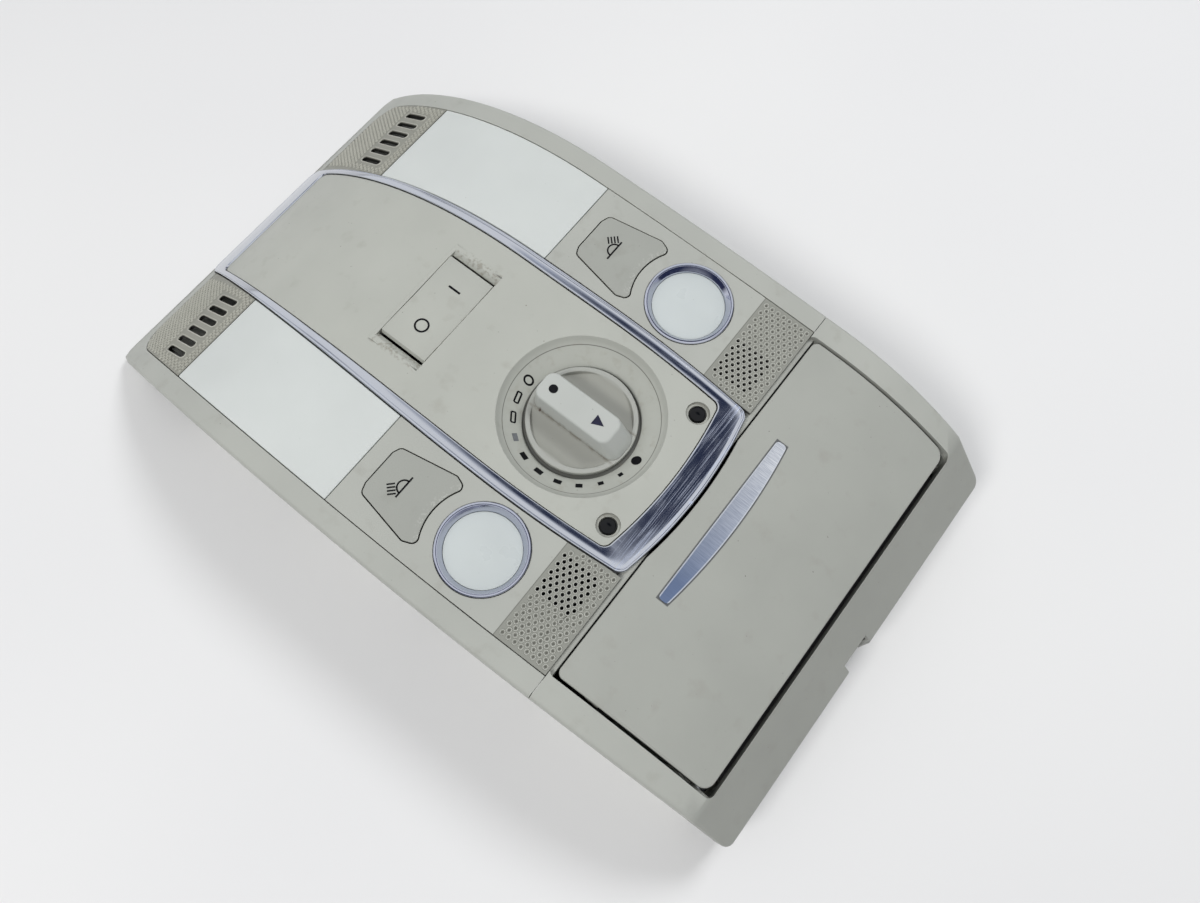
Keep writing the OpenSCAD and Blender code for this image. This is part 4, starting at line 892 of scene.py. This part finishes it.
def chrome_line(starts, ends, across, lift):
    """Points at a distance from one edge of the bars towards the other, halfway if it is None."""
    points = []
    for (x0, y0), (x1, y1) in zip(starts, ends):
        length = math.hypot(x1 - x0, y1 - y0)
        t = 0.5 if across is None else across * min(1.0, length / CHROME_BAR) / length
        points.append(on_face(x0 + (x1 - x0) * t, y0 + (y1 - y0) * t, lift))
    return points


# Half sections of the chrome bars, as distance from the edge and lift off the face
CHROME_OUTSIDE = [
    (0.0, -2.5), (0.0, -0.3), (0.05, 0.1), (0.18, 0.38), (0.42, 0.6), (0.8, 0.71), (1.25, 0.68),
    (1.5, 0.45), (1.62, 0.42), (1.76, 0.5), (2.05, 0.7), (2.25, 0.75), (2.55, 0.785), (None, CHROME_PROUD),
]
CHROME_INSIDE = [(0.0, -2.5), (0.0, -0.3), (0.04, 0.2), (0.14, 0.5), (0.3, 0.68), (0.5, 0.75), (0.8, 0.785)]


def add_chrome_frame():
    """Plated frame with crowned bars, rounded edges and a crease along the outer one."""
    edge = SEAM / 2
    outer = chrome_loop(
        CHROME_FRONT_X + edge, CHROME_REAR_X - edge, lambda x: chrome_y(x) - edge, CHROME_CORNER_OUT,
    )
    inner = chrome_loop(
        CHROME_FRONT_X + CHROME_FRONT_W, CHROME_REAR_X - CHROME_REAR_W,
        lambda x: chrome_y(x) - CHROME_BAR + CHROME_TAPER * max(0.0, CHROME_TAPER_X - x), CHROME_CORNER_IN,
    )
    rings = [chrome_line(outer, inner, *step) for step in CHROME_OUTSIDE]
    rings += [chrome_line(inner, outer, *step) for step in reversed(CHROME_INSIDE)]
    mesh = mesh_of("chrome_frame_look", lofted(rings + rings[:1], False, False))
    bm = bmesh.new()
    bm.from_mesh(mesh)
    bmesh.ops.remove_doubles(bm, verts=bm.verts, dist=1e-6)
    bmesh.ops.recalc_face_normals(bm, faces=bm.faces)
    bm.to_mesh(mesh)
    bm.free()
    finish_object("chrome_frame_look", mesh, CHROME, "console", ("chrome_frame",), angle=40)


def add_frames_and_panels():
    refined("light_frame", COVER, rim=outer_rim)
    refined("box_frame", COVER, rim=outer_rim)
    refined("centre_panel", DISHED, soft=0.25)
    add_chrome_frame()
    for tag, side in SIDES:
        refined("vent_panel_" + tag, GRAINED, soft=0.25)
        refined("dome_lens_" + tag, MILK, soft=0.5, segments=3)
        refined("switch_panel_" + tag, SWITCHED, soft=0.25)
        pits, mouths = grille_pit_shade(side)
        weave = joined([weave_rings(side), slot_lips(side)])
        add_piece("grille_rings_" + tag, grille_rings(side), LIT_RING_PLASTIC, "console", angle=60)
        add_piece("grille_pit_shade_" + tag, pits, HOLLOW, "console")
        # Painted shade: the dark rings round the holes' edges, in print black
        add_piece("grille_mouths_" + tag, mouths, PRINT, "console")
        add_piece("vent_weave_" + tag, weave, BEADED, "console", angle=60)


# Knob and its printed scale
def rounded_rectangle(u0, u1, half, corner, z):
    """Outline of a bar with rounded corners about the knob's middle."""
    points = []
    for u, v, start in (
        (u1 - corner, half - corner, 0), (u0 + corner, half - corner, 90),
        (u0 + corner, -half + corner, 180), (u1 - corner, -half + corner, 270),
    ):
        points += [(x, y, z) for x, y in arc(KNOB_X + u, v, corner, start, start + 90, 8)]
    return points


def disc_height(u, v):
    """Height of the disc's top: level, with a trough for the finger on each side of the grip."""
    top = DISC_Z + DISC_T
    away = abs(abs(v) - HOLLOW_Y)
    if away >= HOLLOW_R:
        return top
    trough = top + HOLLOW_R - HOLLOW_D - math.sqrt(HOLLOW_R ** 2 - away ** 2)
    rim_in = DISC_R - RIM_W
    blend = min(1.0, max(0.0, (math.hypot(u, v) - rim_in + 0.3) / 0.6))
    return min(top, trough + (top - trough) * blend * blend * (3 - 2 * blend))


def knob_disc():
    """Disc with a raised rim and a hollow for the fingers on each side of the grip."""
    count, rings = 168, []
    rim_in, rim_top = DISC_R - RIM_W, DISC_Z + DISC_T
    radii = [0.01] + [rim_in * k / 40 for k in range(1, 40)]
    radii += [rim_in - 0.3 + 0.1 * k for k in range(7)] + [DISC_R - 0.6]
    for r in radii:
        rings.append([(KNOB_X + u, v, disc_height(u, v)) for u, v in circle(0.0, 0.0, r, count)])
    for r, z in ((DISC_R - 0.35, rim_top - 0.05), (DISC_R - 0.12, rim_top - 0.18), (DISC_R, rim_top - 0.45),
                 (DISC_R, DISC_Z + 0.2), (DISC_R - 0.2, DISC_Z), (5.0, DISC_Z)):
        rings.append([(x, y, z) for x, y in circle(KNOB_X, 0.0, r, count)])
    rings.reverse()
    return lofted(rings)


# Layers of the grip: both ends from the knob's axis, growth of the half width, corner radius, height
GRIP_LAYERS = [
    (-21.9, 23.1, 0.9, 5.1, 61.0), (-21.85, 22.9, 0.85, 5.05, 61.9), (-21.35, 21.0, 0.35, 4.55, 65.2),
    (-21.15, 18.8, 0.16, 4.35, 68.6), (-21.0, 17.1, 0.0, 4.2, 71.05), (-20.9, 16.8, -0.1, 4.1, 71.5),
    (-20.65, 16.4, -0.35, 3.9, 71.87), (-20.3, 15.9, -0.75, 3.6, 72.07), (-19.8, 15.3, -1.25, 3.2, 72.13),
]


def add_knob():
    grip = lofted([
        rounded_rectangle(u0, u1, GRIP_W / 2 + grow, corner, z) for u0, u1, grow, corner, z in GRIP_LAYERS
    ], False, True)
    top = level(GRIP_TOP - PRINT_T)
    dot = decal(circle(KNOB_DOT_X, 0.0, KNOB_DOT_R), top)
    arrow = decal(KNOB_ARROW, top)
    add_piece("knob_look", joined([knob_disc(), grip]), KNOB_PLASTIC, "knob", ("knob",),
              angle=50)
    add_piece("knob_dot", dot, PRINT, "knob")
    add_piece("knob_arrow", arrow, PRINT_BLUE, "knob")


def dish_height(x, y):
    r = math.hypot(x - KNOB_X, y)
    for (r0, z0), (r1, z1) in zip(DISH_PROFILE, DISH_PROFILE[1:]):
        if r <= r1:
            return FACE_Z + z0 + (z1 - z0) * (r - r0) / (r1 - r0)
    return FACE_Z


def scale_mark(place, length, width):
    """A rectangular mark at a place of the knob's scale, its long side along the circle."""
    a = math.radians(180 + place * MARK_STEP)
    corners = []
    for s, t in ((-1, -1), (1, -1), (1, 1), (-1, 1)):
        out, around = MARK_R + s * width / 2, t * length / 2
        corners.append((KNOB_X + out * math.cos(a) - around * math.sin(a),
                        out * math.sin(a) + around * math.cos(a)))
    return corners


def hollow_mark(place, length, width):
    """The outline of a rectangular mark as four strokes."""
    corners = scale_mark(place, length - MARK_LINE, width - MARK_LINE)
    return joined([
        decal(bar_outline(a, b, MARK_LINE), dish_height)
        for a, b in zip(corners, corners[1:] + corners[:1])
    ])


def add_scale():
    parts = [
        ring_decal(KNOB_X - MARK_R, 0.0, 2.2, 1.4, dish_height),
        hollow_mark(1, 5.5, 2.4),
        hollow_mark(2, 5.3, 2.4),
        decal(circle(KNOB_X + MARK_R, 0.0, 2.15), dish_height),
    ]
    solid = ((3.7, 2.2), (3.7, 2.2), (3.4, 2.0), (2.9, 2.0), (2.4, 1.75), (2.1, 1.65))
    for i, (length, width) in enumerate(solid):
        parts.append(decal(scale_mark(4 + i, length, width), dish_height))
    grey = decal(scale_mark(3, 3.6, 2.1), dish_height)
    add_piece("knob_scale", joined(parts), PRINT, "console")
    add_piece("knob_scale_grey", grey, PRINT_GREY, "console")


# Rocker, buttons, lights
ROCKER_SIDE = [
    (-22.2, -0.5), (-ROCKER_TOP_X, -0.3), (0.0, -ROCKER_DIP), (ROCKER_TOP_X, -0.3), (22.2, -0.5),
    (22.9, -2.6), (22.3, -3.5), (6.0, -13.0), (-6.0, -13.0), (-22.3, -3.5), (-22.9, -2.6),
]


def rocker_top(x, y):
    return FACE_Z - ROCKER_DIP + ROCKER_RISE * abs(y) / ROCKER_TOP_X


def add_rocker():
    """Rocker cap: slightly dished top just below the panel, slanted ends, rounded side edges."""
    half = ROCKER_W / 2
    rings = []
    for x, inset in ((-half, 0.3), (-half + 0.09, 0.09), (-half + 0.3, 0.0),
                     (half - 0.3, 0.0), (half - 0.09, 0.09), (half, 0.3)):
        rings.append([
            (ROCKER_X + x, y - math.copysign(min(inset, abs(y)), y), FACE_Z + z - (inset if z > -1 else 0.0))
            for y, z in ROCKER_SIDE
        ])
    pin = lofted([
        [(ROCKER_X + x, y, z) for y, z in circle(0.0, FACE_Z - PIVOT_D, TRUNNION_R, 24)]
        for x in (-half - TRUNNION_L, half + TRUNNION_L)
    ])
    stroke = decal(bar_outline((ROCKER_X - 3.1, 10.7), (ROCKER_X + 3.1, 10.7), 0.95), rocker_top)
    ring = ring_decal(ROCKER_X + 0.2, -10.6, 3.35, 2.5, rocker_top)
    add_piece("rocker_look", joined([lofted(rings), pin]), PANEL, "rocker", ("rocker",))
    add_piece("rocker_marks", joined([stroke, ring]), PRINT, "rocker")


def lamp_sign(side):
    """The reading light sign: a line, a half round lamp on it and four slanting rays."""
    top = level(FACE_Z + 0.3)
    cx, cy = SIGN_X, side * (READ_Y + 0.1)
    parts = [decal(bar_outline((cx, cy - SIGN_HALF), (cx, cy + SIGN_HALF), 0.75), top)]
    lamp = arc(cx, cy, SIGN_LAMP_R, -90, -270, 15)
    parts += [decal(bar_outline(a, b, 0.7), top) for a, b in zip(lamp, lamp[1:])]
    dx, dy = -0.70, side * 0.714
    for i in range(RAYS):
        offset = side * (i - (RAYS - 1) / 2) * RAY_STEP
        mx, my = cx + dx * RAY_AWAY - dy * offset, cy + dy * RAY_AWAY + dx * offset
        start = (mx - dx * RAY_HALF, my - dy * RAY_HALF)
        end = (mx + dx * RAY_HALF, my + dy * RAY_HALF)
        parts.append(decal(bar_outline(start, end, 0.65), top))
    return joined(parts)


# Profiles round each reading light, as radius and height over the face
READ_RING = [
    (LENS_R - 0.4, -6), (RING_R - 1, -6), (RING_R - 1, -1.4), (RING_R, -1.4), (RING_R, 0.25),
    (RING_R - 0.12, 0.6), (RING_R - 0.4, 0.85), (RING_R - 0.7, 0.92), (RING_R - 0.95, 0.8),
    (RING_R - 1.1, 0.5), (RING_R - 1.18, 0.05), (RING_R - 1.28, 0.05), (RING_R - 1.36, 0.42),
    (RING_R - 1.5, 0.42), (LENS_R + 0.6, -1.35), (LENS_R + 0.3, -1.7), (LENS_R + 0.15, -2.1),
    (LENS_R + 0.15, -4.4), (LENS_R - 0.4, -4.4), (LENS_R - 0.4, -6),
]
READ_DOME = [
    (0.01, -3.4), (LENS_R - 1, -3.4), (LENS_R - 1, -4.4), (LENS_R, -4.4), (LENS_R, -2.5),
    *((LENS_R * k / 24, -2.2 + 2.2 * (1 - (k / 24) ** 2.4)) for k in range(24, 0, -1)), (0.01, 0.0),
]


def add_lights():
    for tag, side in SIDES:
        centre = (READ_X, side * READ_Y)
        ring = revolved([(r, FACE_Z + z) for r, z in READ_RING], centre)
        dome = revolved([(r, FACE_Z + z) for r, z in READ_DOME], centre, 72)
        refined("reading_button_" + tag, BUTTON, body="button_" + tag)
        add_piece("button_sign_" + tag, lamp_sign(side), PRINT, "button_" + tag)
        add_piece("reading_ring_look_" + tag, ring, RING_CHROME, "console",
                  ("reading_ring_" + tag,), angle=28)
        add_piece("reading_lens_look_" + tag, dome, READ_MILK, "console",
                  ("reading_lens_" + tag,), angle=40)


# Lid
STRIP_SECTION = ((0.0, 0.0), (0.0, 0.18), (0.08, 0.31), (0.25, 0.38), (0.45, 0.4))


def strip_ring(inset, lift):
    """One outline of the lid's strip: straight in front, bowed at the rear, with rounded corners."""
    front = STRIP_FRONT_X + inset
    radius, half, corner = STRIP_R - inset, STRIP_HALF - inset, STRIP_CORNER - inset * 0.8

    def rear(y):
        return STRIP_CENTRE + math.sqrt(radius ** 2 - y * y)

    cy = half - corner
    cx = rear(cy) - corner
    points = [(rear(y), y) for y in (-cy + 2 * cy * k / 40 for k in range(41))]
    points += arc(cx, cy, corner, 15, 90, 5) + arc(front + corner, cy, corner, 90, 180, 6)
    points += [(front, cy - 2 * cy * k / 40) for k in range(1, 40)]
    points += arc(front + corner, -cy, corner, 180, 270, 6) + arc(cx, -cy, corner, 270, 345, 5)
    return [on_face(x, y, lift) for x, y in points]


def add_lid():
    refined("glasses_lid", LID, body="lid", soft=0.6, segments=3)
    strip = lofted([strip_ring(inset, lift) for inset, lift in STRIP_SECTION])
    add_piece("lid_strip_look", strip, BRUSHED, "lid", ("lid_strip",))


CAD_FINISHES = (
    (WHITE, ("reading_reflector_left", "reading_reflector_right", "dome_reflector_left",
             "dome_reflector_right", "light_housing", "box_housing", "latch_plunger", "damper_gear",
             "knob_plunger")),
    (BULB, ("reading_bulb_left", "reading_bulb_right", "dome_bulb_left", "dome_bulb_right")),
    (STEEL, ("bulb_contacts", "board_screws", "housing_screws", "box_screws", "spring_clips",
             "hinge_pins", "knob_shaft")),
    (GLOSS_BLACK, ("sensor_left", "sensor_right")),
    (BLACK, ("rotary_switch", "rocker_case", "button_switches", "connector", "microphones",
             "latch_case", "damper_case", "glasses_tray")),
    (BOARD, ("circuit_board",)),
    (FOAM, ("gap_seal", "lid_bumpers")),
    (FELT, ("tray_liner",)),
)


def dress_cad():
    """The nodes whose own form is right get their material."""
    for material, nodes in CAD_FINISHES:
        for node in nodes:
            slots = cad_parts[node].data.materials
            if not slots:
                slots.append(material)
            for index in range(len(slots)):
                slots[index] = material


add_camera()
add_stage()
add_world()
add_area("near light", (-0.12, -0.95, 1.35), 0.5, 12.0, (1.0, 0.99, 0.97))
add_area("far light", (0.20, 0.90, 1.35), 0.5, 10.5, (0.98, 0.99, 1.0))
add_frames_and_panels()
add_knob()
add_scale()
add_rocker()
add_lights()
add_lid()
dress_cad()

scene.view_settings.view_transform = "Standard"
